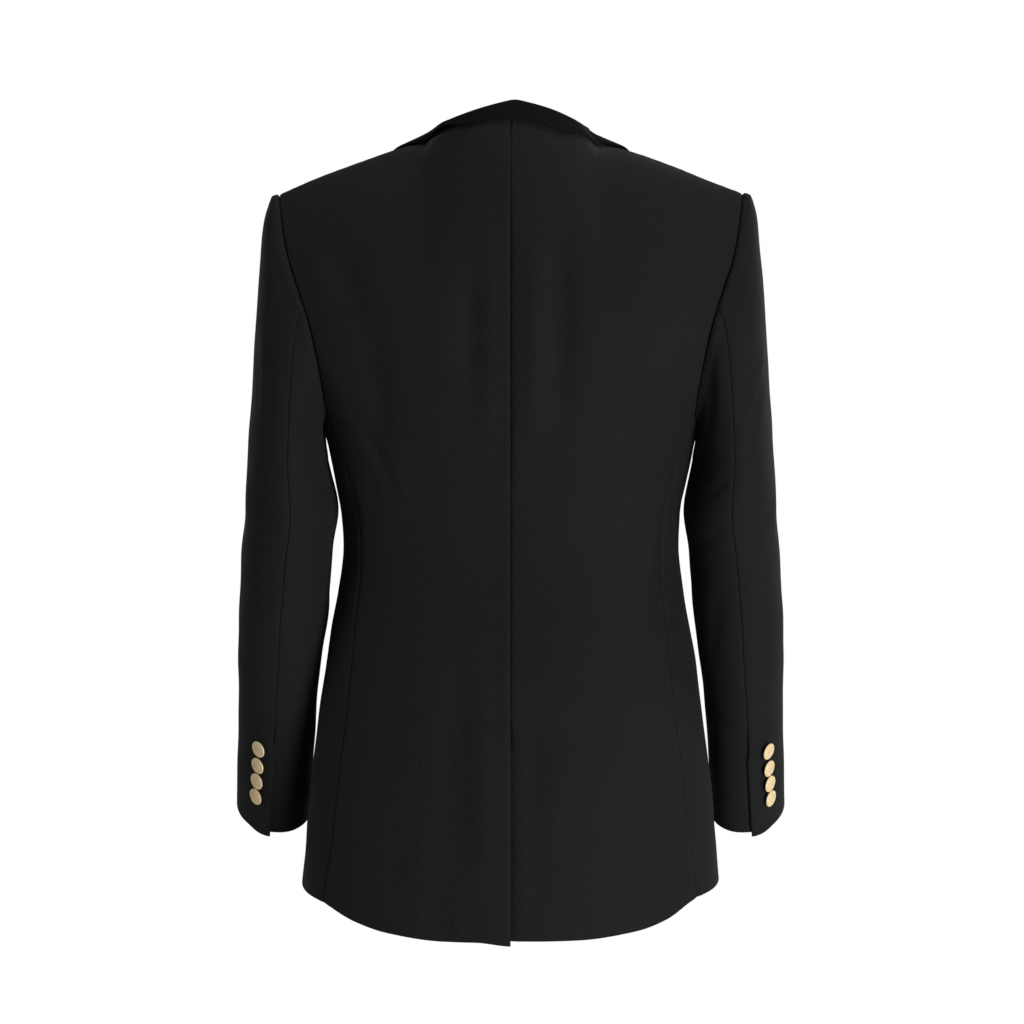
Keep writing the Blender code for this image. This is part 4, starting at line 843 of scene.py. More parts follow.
def front_form(side, level, share):
    """Point of a front, from its open edge to the side seam, armhole and shoulder seam."""
    seam_hem = hem_height(side, FRONT_SEAM_TURN)
    inner_z = level_height(level, seam_hem, NECK_Z)
    outer_z = level_height(level, seam_hem, TIP_Z)
    seam = around(FRONT_SEAM_TURN + SEAM / 2 / read(BODY, outer_z), outer_z)[..., 0]
    reach = np.where(level > 1, read(ARM_FRONT, outer_z), seam)
    start = open_edge(inner_z)
    x = mix(start, reach, share)
    hem = mix(hem_height(side, pi), seam_hem, np.maximum(0.0, 2 * share - 1))
    z = level_height(level, hem, ridge(mix(NECK_X, TIP_X, share), BEFORE))
    within = np.clip((x - start) / CORNER, 0, 1)
    corner = CORNER * (1 - np.sqrt(1 - (1 - within) ** 2))
    z = z + corner * np.maximum(0.0, 1 - level / CORNER_LEVEL)
    return on_face(side * x, z, BEFORE), x


def front_skin(side, level, share):
    """Outer points of the front's cloth and the ways out of it."""
    points, x = front_form(side, level, share)
    return skin(points, False, front_lift(side, x, points[..., 2]))


def make_front(side, name):
    """A front; its lapel is a piece of its own that lies on it."""
    up, across = spread(lambda u, v: front_form(side, from_share(u), v)[0], *FRONT_SIZE)
    return shell(name, *front_skin(side, from_share(up), across), FRONT_EDGES)


# ---- sleeves --------------------------------------------------------------------------

def sleeve_ring(side, z, turn):
    """Outer points of the sleeve below its cap, at levels and angles in degrees."""
    out, forward, half_width, half_depth, lean, twist = (read(SLEEVE, z, k) for k in range(1, 7))
    angle, twist, lean = np.radians(turn), np.radians(twist), np.radians(lean)
    a, b = half_width * np.cos(angle), half_depth * np.sin(angle)
    x = out + a * np.cos(twist) + b * np.sin(twist)
    y = b * np.cos(twist) - a * np.sin(twist)
    return stack(side * x, forward + y * np.cos(lean), z + y * np.sin(lean))


def edge_frames(surface, along, across, inside):
    """Outer points on a piece's edge, their ways on beyond it and their ways out."""
    points, out = surface(along, across)
    before, _ = surface(*inside)
    on = points - before
    on -= out * (on * out).sum(-1, keepdims=True)
    return points, unit(on), out


def armhole(side):
    """The armhole's frames, from the sleeve's back seam over the shoulder and round again."""
    up = from_share(np.linspace(0.5, 1, ARM_STEPS))
    edge = np.ones_like(up)
    inside = (up, edge * JUST_INSIDE)
    back = edge_frames(lambda u, v: back_skin(side, u, v), up, edge, inside)
    front = edge_frames(lambda u, v: front_skin(side, u, v), up, edge, inside)
    share = np.linspace(1, 0, UNDERARM_STEPS)
    top = np.ones_like(share)
    under = edge_frames(lambda u, v: side_skin(side, u, v), top, share, (top * JUST_INSIDE, share))
    parts = []
    for b, f, u in zip(back, front, under):
        shoulder = (b[-1:] + f[-1:]) / 2
        fore, aft = (f[:1] + u[:1]) / 2, (u[-1:] + b[:1]) / 2
        parts.append(np.concatenate((aft, b[1:-1], shoulder, f[-2:0:-1], fore, u[1:-1], aft)))
    places, on, out = parts
    count = len(up)
    shares = np.interp((BACK_START, FRONT_START), up - 1, np.arange(count))
    return places, unit(on), unit(out), shares[0], 2 * (count - 1) - shares[1]


def armhole_allowance(side, word):
    """Inside the armhole seam, all the way round."""
    places, on, out = armhole(side)[:3]
    far = np.linspace(*ARMHOLE_STRIP, STRIP_COLUMNS["armhole"])[:, None]
    inner = places[:, None] + on[:, None] * far - out[:, None] * (CLOTH + ARMHOLE_GAP)
    grain = np.stack(np.broadcast_arrays(far[:, 0], run(places, 0)[:, None]), -1)
    make_allowance("armhole_allowance_" + word, inner, grain,
                   np.broadcast_to(out[:, None], inner.shape))


def armhole_half(side, upper):
    """Frames of the upper or the under half of the armhole, by their share along it."""
    places, on, out, start, stop = armhole(side)
    last = len(places) - 1
    first, end = (start, stop) if upper else (stop, last + start)
    picks = np.concatenate(([first], np.arange(int(first) + 1, int(np.ceil(end))), [end])) % last
    places, on, out = (sampled(picks, np.arange(last + 1), part) for part in (places, on, out))
    far = run(places, 0)
    return far / far[-1], places, unit(on), unit(out)


def sleeve_turn(z, upper, share):
    """Angle round the sleeve of a share of its upper or under half."""
    back, front = read(SLEEVE, z, 7), read(SLEEVE, z, 8)
    return mix(back, front + 360, share) if upper else mix(front, back, share)


def cap_point(side, frames, upper, share, part):
    """Points of the cap, from the armhole out and down to the sleeve's first ring."""
    shares, places, on, _ = frames
    place, on = sampled(share, shares, places), unit(sampled(share, shares, on))
    start = place + on * SEAM
    end = sleeve_ring(side, np.full(share.shape, SLEEVE_TOP_Z),
                      sleeve_turn(SLEEVE_TOP_Z, upper, share))
    up = (place[..., 2] - ARM_Z + ARM_DIP) / (TIP_Z - ARM_Z + ARM_DIP)
    way = unit(stack(np.full_like(up, side), CAP_LEAN * place[..., 1] / CAP_DEPTH,
                     CAP_RISE + CAP_RISE_TOP * up))
    short = np.maximum(0, CAP_ON - (way * on).sum(-1))
    way = unit(way + on * short[..., None])
    fall = start[..., 2] - end[..., 2]
    first = start + way * (CAP_OUT * mix(CAP_OUT_FOOT, 1, up))[..., None]
    back = stack(-side * CAP_TILT * up, np.zeros_like(up), np.ones_like(up))
    last = end + back * (fall * mix(*CAP_FALL, up * up))[..., None]
    t, s = part[..., None], 1 - part[..., None]
    return s ** 3 * start + 3 * s * s * t * first + 3 * s * t * t * last + t ** 3 * end


def sleeve_level(down):
    """Height of a row of the sleeve below its cap."""
    return mix(SLEEVE_TOP_Z, CUFF_Z, (down - CAP_SHARE) / (1 - CAP_SHARE))


def sleeve_form(side, upper, frames, down, share):
    """Points of a sleeve half; down is 0 at the armhole and 1 at the cuff."""
    z = sleeve_level(np.maximum(down, CAP_SHARE))
    tube = sleeve_ring(side, z, sleeve_turn(z, upper, share))
    cap = cap_point(side, frames, upper, share, np.clip(down / CAP_SHARE, 0, 1))
    return np.where((down < CAP_SHARE)[..., None], cap, tube)


def sleeve_rise(side, upper, z, share, points):
    """Height of the folds, creases, waves and seam swelling of a sleeve half."""
    turn = sleeve_turn(z, upper, share) % 360
    rise = np.zeros_like(z)
    for fold_side, level, angle, tall, wide, height in SLEEVE_FOLDS:
        if fold_side == side:
            rise += height * np.exp(-((z - level) / tall) ** 2 - ((turn - angle) / wide) ** 2)
    height = points[..., 2]
    turn = sleeve_turn(np.minimum(height, SLEEVE_TOP_Z), upper, share) % 360
    for crease_side, path, width, tall in SLEEVE_CREASES:
        if crease_side == side:
            path = [(degrees * TURN_LENGTH, level) for degrees, level in path]
            rise += crease(turn * TURN_LENGTH, height, path, width, tall)
    rise += waviness(points)
    far = run(points, 0)
    for tall, distance, width in CAP_SWELL:
        swell = tall * np.exp(-((far - distance) / width) ** 2)
        rise += swell * ease(*CAP_SWELL_Z, height[:1])
    return rise


def make_sleeve(side, upper, name):
    """The upper sleeve, or the under sleeve that closes it towards the body."""
    frames = armhole_half(side, upper)

    def form(u, v):
        return sleeve_form(side, upper, frames, u, v)

    down, share = spread(form, *(UPPER_SIZE if upper else UNDER_SIZE))
    wide = run(form(down, share), 1)[:, -1:]
    share = mix(SEAM / 2 / wide, 1 - SEAM / 2 / wide, share)
    seam_column = share.shape[1] - 1
    if not upper:
        beyond = spaced(CUFF_UNDERLAP, UNDERLAP_STEP)[1:]
        share = np.concatenate((share, share[:, -1:] + beyond / wide), axis=1)
        down = np.concatenate((down, np.broadcast_to(down[:, -1:], (len(down), len(beyond)))), 1)
    points, e = form(down, share), SLEEVE_STEP
    fall = form(np.minimum(down + e, 1), share) - form(np.maximum(down - e, 0), share)
    on = form(down, share + e) - form(down, share - e)
    out = unit(np.cross(fall, on)) * side
    z = np.where(down < CAP_SHARE, 0.0, sleeve_level(down))
    far = run(points, 1)
    edge = far if upper else far[:, seam_column, None] - far
    lapped = ease(CUFF_VENT_Z, CUFF_VENT_Z - CUFF_SOFT, z)
    rise = sleeve_rise(side, upper, z, share, points)
    rise += LAP * ease(*CUFF_LIFT_EDGE, edge) * lapped * (1 if upper else -1)
    points = points + out * rise[..., None]
    if upper:
        held = ease(CUFF_VENT_Z - CUFF_SOFT, CUFF_VENT_Z - 2 * CUFF_SOFT, z)
        points = points - unit(on) * (CUFF_VENT_LAP * held * ease(*CUFF_LAP_EDGE, edge))[..., None]
        points[..., 2] -= CUFF_DROP * ease(*CUFF_DROP_EDGE, edge) * ease(*CUFF_DROP_ROWS, down)
    keep = np.ones((len(down) - 1, down.shape[1] - 1), bool)
    keep[:, seam_column:] = z[:-1, seam_column, None] < CUFF_VENT_Z - CUFF_HIDDEN
    return shell(name, points, out, SLEEVE_EDGES, keep)


def sleeve_spot(side, z, turn):
    """Point of the sleeve below its cap and the way out there."""
    z, turn = np.array(z), np.array(turn)
    point = sleeve_ring(side, z, turn)
    ring = sleeve_ring(side, z, turn + 1) - sleeve_ring(side, z, turn - 1)
    down = sleeve_ring(side, z - SPOT_STEP, turn) - sleeve_ring(side, z + SPOT_STEP, turn)
    return point, unit(np.cross(down, ring)) * side


# ---- collar and lapels ----------------------------------------------------------------

def neck_edge(side):
    """Half of the collar's seam, from the nape to the gorge: share of it, place and way out."""
    top = np.full(NECK_STEPS, 2.0)
    places, outs = back_skin(side, top, np.linspace(0, NECK_X / TIP_X, NECK_STEPS))
    gorge = 0.5 + (1 - (1 - GORGE_LEVEL) ** 0.5) / 2
    down = from_share(np.linspace(1, gorge, NECK_STEPS))
    front, front_out = front_skin(side, down, np.zeros(NECK_STEPS))
    places = np.concatenate((places[:-1], front))
    outs = unit(np.concatenate((outs[:-1], front_out)))
    on = unit(np.cross(outs, unit(np.gradient(places, axis=0)))) * side
    far = run(places, 0)
    return far / far[-1], places + on * NECK_GAP, outs


def kept_clear(points, space):
    """Points moved out, where needed, so that they clear the form of the body by a space."""
    behind = points[..., 1] < 0
    for _ in range(2):
        way = slope(points, behind)
        size = np.linalg.norm(way, axis=-1)
        x, y, z = np.moveaxis(points, -1, 0)
        short = np.maximum(0, space - hollow(x, y, z, behind) / size)
        points = points + unit(way) * short[..., None]
    return points


def collar_column(side, share, seam, out_there):
    """Points of the collar's seen face, from its seam over the roll to the fall's edge."""
    x, y, z, edge_x, edge_y = (float(read(COLLAR, share, k)) for k in range(1, 6))
    sway = COLLAR_SWAY * float(ease(*SWAY_SHARES, share))
    roll = np.array((side * x + sway, y, z))
    ahead, behind = (np.array((side * float(read(COLLAR, share + d, 1)),
                               float(read(COLLAR, share + d, 2)), 0))
                     for d in (ROLL_STEP, -ROLL_STEP))
    out = unit(np.cross(ahead - behind, (0, 0, side)))
    down = np.array((0, 0, COLLAR_ROLL))
    stand_top = roll - out * COLLAR_ROLL - down
    fall_top = kept_clear(roll + out * COLLAR_ROLL - down, CLOTH + REST)
    spot = on_shoulder(side * edge_x + sway, edge_y)
    edge = spot + unit(slope(spot, edge_y < 0)) * (CLOTH + REST)
    sewn = float(ease(*SEWN_SHARES, share))
    part = GORGE_SHARE * GORGE_MEET
    meet, way = on_front(side * mix(GORGE_X, LAPEL[-1][1], part),
                         mix(GORGE_Z, LAPEL[-1][2], part) + GORGE_GAP)
    meet = meet + way * (CLOTH + REST)
    near, far = (mix(fall_top, edge, k) for k in FALL_PARTS)
    fall = [kept_clear(point, CLOTH + REST) for point in
            (mix(near, mix(fall_top, meet, 0.5), sewn), mix(far, meet, sewn))]
    base = seam - out_there * CLOTH
    return [base, mix(base, stand_top, STAND_PART), stand_top, roll, fall_top] + fall + [edge]


def make_collar(name):
    """The collar: a stand from the neck seam up to the roll, and a fall over the shoulders."""
    closer = mix(COLLAR_EVEN, 1, spaced(*COLLAR_ROW)[-COLLAR_LAST:] / COLLAR_ROW[0])
    stations = np.concatenate((np.linspace(0, COLLAR_EVEN, COLLAR_STATIONS), closer))
    columns = []
    for side in (LEFT, RIGHT):
        shares, seams, outs = neck_edge(side)
        half = []
        for share in np.unique(stations):
            seam, out = sampled(share, shares, seams), unit(sampled(share, shares, outs))
            half.append(through(collar_column(side, share, seam, out), COLLAR_STEPS))
        columns += half[::-1] if side == LEFT else half[1:]
    seen = np.array(columns)
    seen[:, ROLL_POINT:] = kept_clear(seen[:, ROLL_POINT:], CLOTH + REST)
    along, across = np.gradient(seen, axis=0), np.gradient(seen, axis=1)
    out = -unit(np.cross(across, along))
    if out[len(out) // 2, -1, 1] >= 0:      # at the nape, the fall's edge has to look back
        out = -out
    return shell(name, seen, out, COLLAR_EDGES)


def lapel_rows(side, shares):
    """Outer and inner points across the lapel at shares of its roll line."""
    over, under = [], []
    for share in shares:
        on_roll, on_edge = (mix(foot, 1, share) if side == LEFT else share for foot in LEFT_LAPEL)
        roll_z = mix(BREAK_Z, GORGE_Z - GORGE_GAP, on_roll)
        roll = np.array((float(open_edge(roll_z)), 0, roll_z))
        edge = np.array((float(read(LAPEL, on_edge, 1)), 0, float(read(LAPEL, on_edge, 2))))
        way = unit(edge - roll)
        outer = [(roll + way * far, lift) for far, lift, _, _ in LAPEL_ROLL]
        inner = [(roll + way * far, lift) for _, _, far, lift in LAPEL_ROLL]
        outer += [(mix(roll, edge, part), lift) for part, lift in LAPEL_COLUMNS]
        inner += [(mix(roll, edge, part), lift - CLOTH) for part, lift in LAPEL_COLUMNS]
        for rows, spots in ((over, outer), (under, inner)):
            line = []
            for spot, lift in spots:
                point, out = on_front(side * spot[0], spot[2])
                lift += float(folds(point, False))
                lift += float(front_lift(side, spot[0], spot[2]))
                line.append(point + out * lift)
            rows.append(through(line, LAPEL_STEPS))
    return np.array(over), np.array(under)


def make_lapel(side, name):
    """The front's facing where it is turned back along the roll line."""
    over, under = lapel_rows(side, spaced(LAPEL_LENGTH, LAPEL_STEP) / LAPEL_LENGTH)
    return cloth_mesh(name, over, under, np.stack((run(over, 1), run(over, 0)), -1))


# ---- buttons and stitches -------------------------------------------------------------

# Half section of a button, in radii: distance from its middle, height over the cloth.
BUTTON_PROFILE = (
    (0.10, 0.560), (0.20, 0.556), (0.30, 0.550), (0.40, 0.542), (0.50, 0.532), (0.58, 0.523),
    (0.66, 0.512), (0.72, 0.502), (0.765, 0.490), (0.785, 0.470), (0.80, 0.462), (0.83, 0.460),
    (0.845, 0.470), (0.86, 0.488), (0.89, 0.502), (0.925, 0.502), (0.96, 0.486), (0.985, 0.455),
    (1.00, 0.405), (1.00, 0.370), (0.985, 0.345), (0.94, 0.325), (0.85, 0.310), (0.60, 0.300),
    (0.34, 0.290), (0.29, 0.270), (0.26, 0.220), (0.25, 0.130), (0.255, 0.050), (0.28, 0.000),
)
BUTTON_SIDES = 72
CROWN = 0.562               # height of a button's middle, in radii
RELIEF = 0.020              # height of the pattern on its face
RELIEF_EDGE, RELIEF_FADE = 0.74, 0.08   # where that pattern ends, and over what distance
FACE_LEVEL = 0.45           # points of the profile over this height are its face
BEAD_RING, BEAD_LEVEL = 0.815, 0.462    # distance and height of the beads by its rim
BEAD_FILL = 0.92            # how much of their ring the beads fill
HOLE = (-0.0030, 0.0190)    # from where to where a front buttonhole runs across
HOLE_ENDS = (-1.1, -0.6, 0.0, 0.6, 1.1)     # angles of the stitches round each of its ends
STITCH_HALF, STITCH_PITCH = 0.62, 0.34  # their distance from the slit and apart, in their lengths
STITCH_RISE = 0.00012       # height of their middles over the cloth
SEEK = 0.01                 # distance over the form from which the cloth is sought


def button_object(name, radius, at, out, seed):
    """Domed button with a low stippled relief inside a raised rim, on a shank."""
    turns = np.arange(BUTTON_SIDES) * tau / BUTTON_SIDES
    places = [(0, 0, CROWN)]
    for far, height in BUTTON_PROFILE:
        relief = RELIEF * ease(RELIEF_EDGE, RELIEF_EDGE - RELIEF_FADE, far) * (height > FACE_LEVEL)
        pattern = (np.sin(far * 31 + 3 * np.sin(5 * turns + seed)) * np.cos(7 * turns + far * 9)
                   + 0.6 * np.sin(23 * turns + far * 40 + seed) * np.sin(far * 47))
        places += [(far * cos(t), far * sin(t), height + relief * bump)
                   for t, bump in zip(turns, pattern)]
    places.append((0, 0, 0))
    count, last = BUTTON_SIDES, len(places) - 1
    faces = [(0, 1 + k, 1 + (k + 1) % count) for k in range(count)]
    for ring in range(len(BUTTON_PROFILE) - 1):
        first = 1 + ring * count
        faces += [(first + k, first + count + k, first + count + (k + 1) % count,
                   first + (k + 1) % count) for k in range(count)]
    first = last - count
    faces += [(first + k, last, first + (k + 1) % count) for k in range(count)]
    turned = out.to_track_quat("Z", "Y").to_matrix()
    mesh = bpy.data.meshes.new(name)
    mesh.from_pydata([at + turned @ (Vector(p) * radius) for p in places], [], faces)
    mesh.polygons.foreach_set("use_smooth", np.ones(len(faces), bool))
    return linked(name + "_gilt", mesh), turned


def wired(tree, kind, inputs, **settings):
    """A new node; its inputs are linked where a socket is given, and set where a value is."""
    made = tree.nodes.new(kind)
    for title, value in settings.items():
        setattr(made, title, value)
    for title, value in inputs.items():
        if isinstance(value, bpy.types.NodeSocket):
            tree.links.new(value, made.inputs[title])
        else:
            made.inputs[title].default_value = value
    return made


def new_tree(name, kind, inputs, outputs):
    """A new node group and its ends; inputs and outputs are name and socket type."""
    tree = bpy.data.node_groups.new(name, kind)
    for sockets, in_out in ((inputs, "INPUT"), (outputs, "OUTPUT")):
        for title, socket in sockets:
            tree.interface.new_socket(title, in_out=in_out, socket_type="NodeSocket" + socket)
    return tree, tree.nodes.new("NodeGroupInput").outputs, tree.nodes.new("NodeGroupOutput").inputs


def grain_tree():
    """Rounded grains, long along their own way, on every point: beads and stitches."""
    tree, given, result = new_tree(
        "grains", "GeometryNodeTree",
        (("Geometry", "Geometry"), ("Length", "Float"), ("Thickness", "Float"),
         ("Material", "Material")), (("Geometry", "Geometry"),))
    ball = wired(tree, "GeometryNodeMeshIcoSphere", {"Radius": 0.5, "Subdivisions": 2})
    way = wired(tree, "GeometryNodeInputNamedAttribute", {"Name": "way"}, data_type="FLOAT_VECTOR")
    turn = wired(tree, "FunctionNodeAlignRotationToVector", {"Vector": way.outputs["Attribute"]},
                 axis="X")
    uneven = wired(tree, "FunctionNodeRandomValue", {"Seed": 11, "Min": 0.94, "Max": 1.06},
                   data_type="FLOAT")
    longer = wired(tree, "ShaderNodeMath", {0: given["Length"], 1: uneven.outputs["Value"]},
                   operation="MULTIPLY")
    size = wired(tree, "ShaderNodeCombineXYZ", {"X": longer.outputs[0], "Y": given["Thickness"],
                                                "Z": given["Thickness"]})
    placed = wired(tree, "GeometryNodeInstanceOnPoints",
                   {"Points": given["Geometry"], "Instance": ball.outputs["Mesh"],
                    "Rotation": turn.outputs["Rotation"], "Scale": size.outputs["Vector"]})
    real = wired(tree, "GeometryNodeRealizeInstances", {"Geometry": placed.outputs["Instances"]})
    smooth = wired(tree, "GeometryNodeSetShadeSmooth", {"Geometry": real.outputs["Geometry"]})
    finish = wired(tree, "GeometryNodeSetMaterial", {"Geometry": smooth.outputs["Geometry"],
                                                     "Material": given["Material"]})
    tree.links.new(finish.outputs["Geometry"], result["Geometry"])
    return tree


def grains(name, places, ways, length, thickness, material):
    """A plain mesh of grains at places, made by the tree and realized."""
    mesh = bpy.data.meshes.new(name + "_points")
    mesh.from_pydata([tuple(map(float, p)) for p in places], [], [])
    layer = mesh.attributes.new("way", "FLOAT_VECTOR", "POINT")
    layer.data.foreach_set("vector", np.array(ways, np.float32).ravel())
    source = linked(name + "_points", mesh)
    tree = bpy.data.node_groups.get("grains") or grain_tree()
    modifier = source.modifiers.new("grains", "NODES")
    modifier.node_group = tree
    values = {"Length": length, "Thickness": thickness, "Material": material}
    for item in tree.interface.items_tree:
        if item.in_out == "INPUT" and item.name in values:
            modifier[item.identifier] = values[item.name]
    graph = bpy.context.evaluated_depsgraph_get()
    plain = bpy.data.meshes.new_from_object(source.evaluated_get(graph))
    bpy.data.objects.remove(source, do_unlink=True)
    plain.name = name
    made = linked(name, plain)
    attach(made, "root")
    return made


def seated(cloth, point, out, reach):
    """Where a piece that stands over a point touches the cloth, and the cloth's way out there."""
    hit, place, way, _ = cloth.ray_cast(Vector(point) + Vector(out) * reach, -Vector(out))
    if not hit:
        raise RuntimeError("no cloth under a button")
    return place, way


def make_button(name, radius, cloth, point, out, seed, lean=Vector((0, 0, 0))):
    """One button on its cloth, with the ring of beads by its rim."""
    place, way = seated(cloth, point, out, radius)
    at = place + way * SEAM
    made, turned = button_object(name, radius, at, (way + lean).normalized(), seed)
    dress(made, name, gilt())
    count = bpy.context.scene.blazer.beads
    turns = [tau * k / count for k in range(count)]
    rings = [at + turned @ (Vector((BEAD_RING * cos(t), BEAD_RING * sin(t), BEAD_LEVEL)) * radius)
             for t in turns]
    ways = [turned @ Vector((cos(t), sin(t), 0)) for t in turns]
    size = tau * BEAD_RING * radius / count * BEAD_FILL
    grains(name + "_beads", rings, ways, size, size, gilt())


def make_buttonhole(name, cloth, z):
    """Stitches round the slit through which a front button passes."""
    settings = bpy.context.scene.blazer
    half, pitch = settings.stitch_length * STITCH_HALF, settings.stitch_length * STITCH_PITCH
    count = int((HOLE[1] - HOLE[0]) / pitch)
    spots = [(mix(*HOLE, k / count), edge * half, 0, edge)
             for edge in (-1, 1) for k in range(count + 1)]
    for x_end, sign in zip(HOLE, (-1, 1)):
        spots += [(x_end + sign * half * cos(a), half * sin(a), sign * cos(a), sin(a))
                  for a in HOLE_ENDS]
    places, ways = [], []
    for x, up, way_x, way_z in spots:
        place, way = seated(cloth, *on_front(x, z + up), SEEK)
        ahead = Vector((way_x, 0, way_z))
        places.append(place + way * STITCH_RISE)
        ways.append((ahead - way * ahead.dot(way)).normalized())
    made = grains(name, places, ways, settings.stitch_length, settings.thread, thread())


# ---- materials ------------------------------------------------------------------------

NOISE_SPAN = (0.3, 0.7)     # where nearly all of a noise's values lie
THREAD_SPAN = (0.28, 0.72)

# The wool: scales of its noises, to the metre, and the tones that they make.
WANDER_SCALE, WANDER = 260.0, 0.0006        # the twill's ribs wander so far
THREAD_SCALE, THREAD_TONE, THREAD_ROUGH = (480.0, 430.0, 1.0), (-1.0, 1.0), (0.74, 0.90)
SLUB_SCALE, SLUB_TONE = (900.0, 160.0, 1.0), (-0.22, 0.22)
BROAD_SCALE, BROAD_TONE = 9.0, (0.94, 1.06)
RIB_HEIGHT, THREAD_HEIGHT = 0.5, 2.2
SHEEN = {"Sheen Roughness": 0.45, "Sheen Tint": (0.9, 0.9, 0.9, 1)}
COLLAR_SHINE, COLLAR_NAP = 0.6, 0.3         # the collar's shares of the wool's
SEWING = {"tone": 1.3, "fleck": 0.1, "pitch": 0.0003, "shine": 0.4, "nap": 0.1}

# The gilding: its pits' scale, detail and roughness, its patches' scale, and their tones.
PITS, PIT_TONE = (1100.0, 3.0, 0.6), (0.72, 1.26)
PATCH_SCALE, PATCH_TONE, PATCH_ROUGH = 420.0, (0.94, 1.06), (0.44, 0.58)
GILT_METAL = 0.10

WOOL_BUMP, SEWING_BUMP, GILT_BUMP = (0.35, 0.00008), (0.3, 0.00004), (0.8, 0.00014)


def noise(tree, vector, scale, detail=2.0, rough=0.5):
    """A noise texture's value at a place."""
    return wired(tree, "ShaderNodeTexNoise", {"Vector": vector, "Scale": scale, "Detail": detail,
                                              "Roughness": rough}).outputs["Fac"]


def mapped(tree, value, ends, span=NOISE_SPAN):
    """A value's span, brought to run between two ends."""
    return wired(tree, "ShaderNodeMapRange", {
        "Value": value, "From Min": span[0], "From Max": span[1], "To Min": ends[0],
        "To Max": ends[1]}).outputs["Result"]


def joined(tree, operation, a, b=0.0):
    """One sum, product or the like of two values."""
    return wired(tree, "ShaderNodeMath", {0: a, 1: b}, operation=operation).outputs[0]


def scaled(tree, vector, factors):
    """A place stretched by a factor for each axis."""
    return wired(tree, "ShaderNodeMapping", {"Vector": vector, "Scale": factors}).outputs["Vector"]


def shader_tree(name, inputs):
    """A shader group with a colour; it gives colour, roughness and height."""
    return new_tree(name, "ShaderNodeTree", (("Place", "Vector"), ("Colour", "Color")) + inputs,
                    (("Colour", "Color"), ("Roughness", "Float"), ("Height", "Float")))


def finished(tree, given, result, tone, rough, height):
    """End a shader group: its colour scaled by a tone, its roughness and its height."""
    shade = wired(tree, "ShaderNodeVectorMath", {0: given["Colour"], "Scale": tone},
                  operation="SCALE")
    tree.links.new(shade.outputs["Vector"], result["Colour"])
    tree.links.new(rough, result["Roughness"])
    tree.links.new(height, result["Height"])
    return tree


def wool_group():
    """Fine twill: its colour, roughness and height from the cloth's grain in metres."""
    tree, given, result = shader_tree(
        "wool_group", (("Grain", "Vector"), ("Fleck", "Float"), ("Pitch", "Float")))
    grain = given["Grain"]
    split = wired(tree, "ShaderNodeSeparateXYZ", {"Vector": grain})
    slant = joined(tree, "ADD", split.outputs["X"], split.outputs["Y"])
    wander = joined(tree, "MULTIPLY", noise(tree, grain, WANDER_SCALE), WANDER)
    phase = joined(tree, "DIVIDE", joined(tree, "ADD", slant, wander), given["Pitch"])
    ribs = joined(tree, "SINE", joined(tree, "MULTIPLY", phase, tau))
    threads = noise(tree, scaled(tree, grain, THREAD_SCALE), 1.0)
    slubs = noise(tree, scaled(tree, grain, SLUB_SCALE), 1.0)
    broad = noise(tree, given["Place"], BROAD_SCALE)
    tone = joined(tree, "ADD", mapped(tree, threads, THREAD_TONE, THREAD_SPAN),
                  mapped(tree, slubs, SLUB_TONE))
    tone = joined(tree, "MULTIPLY", tone, given["Fleck"])
    tone = joined(tree, "ADD", tone, mapped(tree, broad, BROAD_TONE))
    height = joined(tree, "ADD", joined(tree, "MULTIPLY", ribs, RIB_HEIGHT),
                    joined(tree, "MULTIPLY", threads, THREAD_HEIGHT))
    return finished(tree, given, result, tone, mapped(tree, threads, THREAD_ROUGH), height)


def gilt_group():
    """Pale matt gilding with fine pits and soft patches."""
    tree, given, result = shader_tree("gilt_group", ())
    pits = noise(tree, given["Place"], *PITS)
    patches = noise(tree, given["Place"], PATCH_SCALE)
    tone = joined(tree, "MULTIPLY", mapped(tree, pits, PIT_TONE),
                  mapped(tree, patches, PATCH_TONE))
    return finished(tree, given, result, tone, mapped(tree, patches, PATCH_ROUGH), pits)


def grouped(name, group, wiring, constants, bump):
    """A Principled material whose colour, roughness and bump come from a shader group."""
    if name in bpy.data.materials:
        return bpy.data.materials[name]
    material = bpy.data.materials.new(name)
    material.use_nodes = True
    tree = material.node_tree
    place = tree.nodes.new("ShaderNodeTexCoord")
    detail = tree.nodes.new("ShaderNodeGroup")
    detail.node_tree = bpy.data.node_groups.get(group.__name__) or group()
    for title, value in wiring.items():
        if isinstance(value, str):
            tree.links.new(place.outputs[value], detail.inputs[title])
        else:
            detail.inputs[title].default_value = value
    raised = wired(tree, "ShaderNodeBump", {"Strength": bump[0], "Distance": bump[1],
                                            "Height": detail.outputs["Height"]})
    shader = tree.nodes["Principled BSDF"].inputs
    tree.links.new(raised.outputs["Normal"], shader["Normal"])
    tree.links.new(detail.outputs["Colour"], shader["Base Color"])
    tree.links.new(detail.outputs["Roughness"], shader["Roughness"])
    for title, value in constants.items():
        shader[title].default_value = value
    material.diffuse_color = wiring["Colour"]
    return material


def woollen(name, tone=1.0, shine=1.0, nap=1.0):
    """The cloth's material; tone, shine and nap are shares of the settings'."""
    settings = bpy.context.scene.blazer
    colour = tuple(tone * c for c in settings.wool_colour) + (1,)
    return grouped(name, wool_group,
                   {"Grain": "UV", "Place": "Object", "Colour": colour,
                    "Fleck": settings.wool_fleck, "Pitch": settings.weave_pitch},
                   {"Specular IOR Level": shine * settings.wool_shine,
                    "Sheen Weight": nap * settings.wool_nap, **SHEEN}, WOOL_BUMP)


def wool():
    """The blazer's black wool."""
    return woollen("black_wool")


def shaded_collar_wool():
    """The same cloth darkened to a share of its tone: painted shade on the collar."""
    return woollen("shaded_collar_wool", bpy.context.scene.blazer.collar_tone, COLLAR_SHINE, COLLAR_NAP)


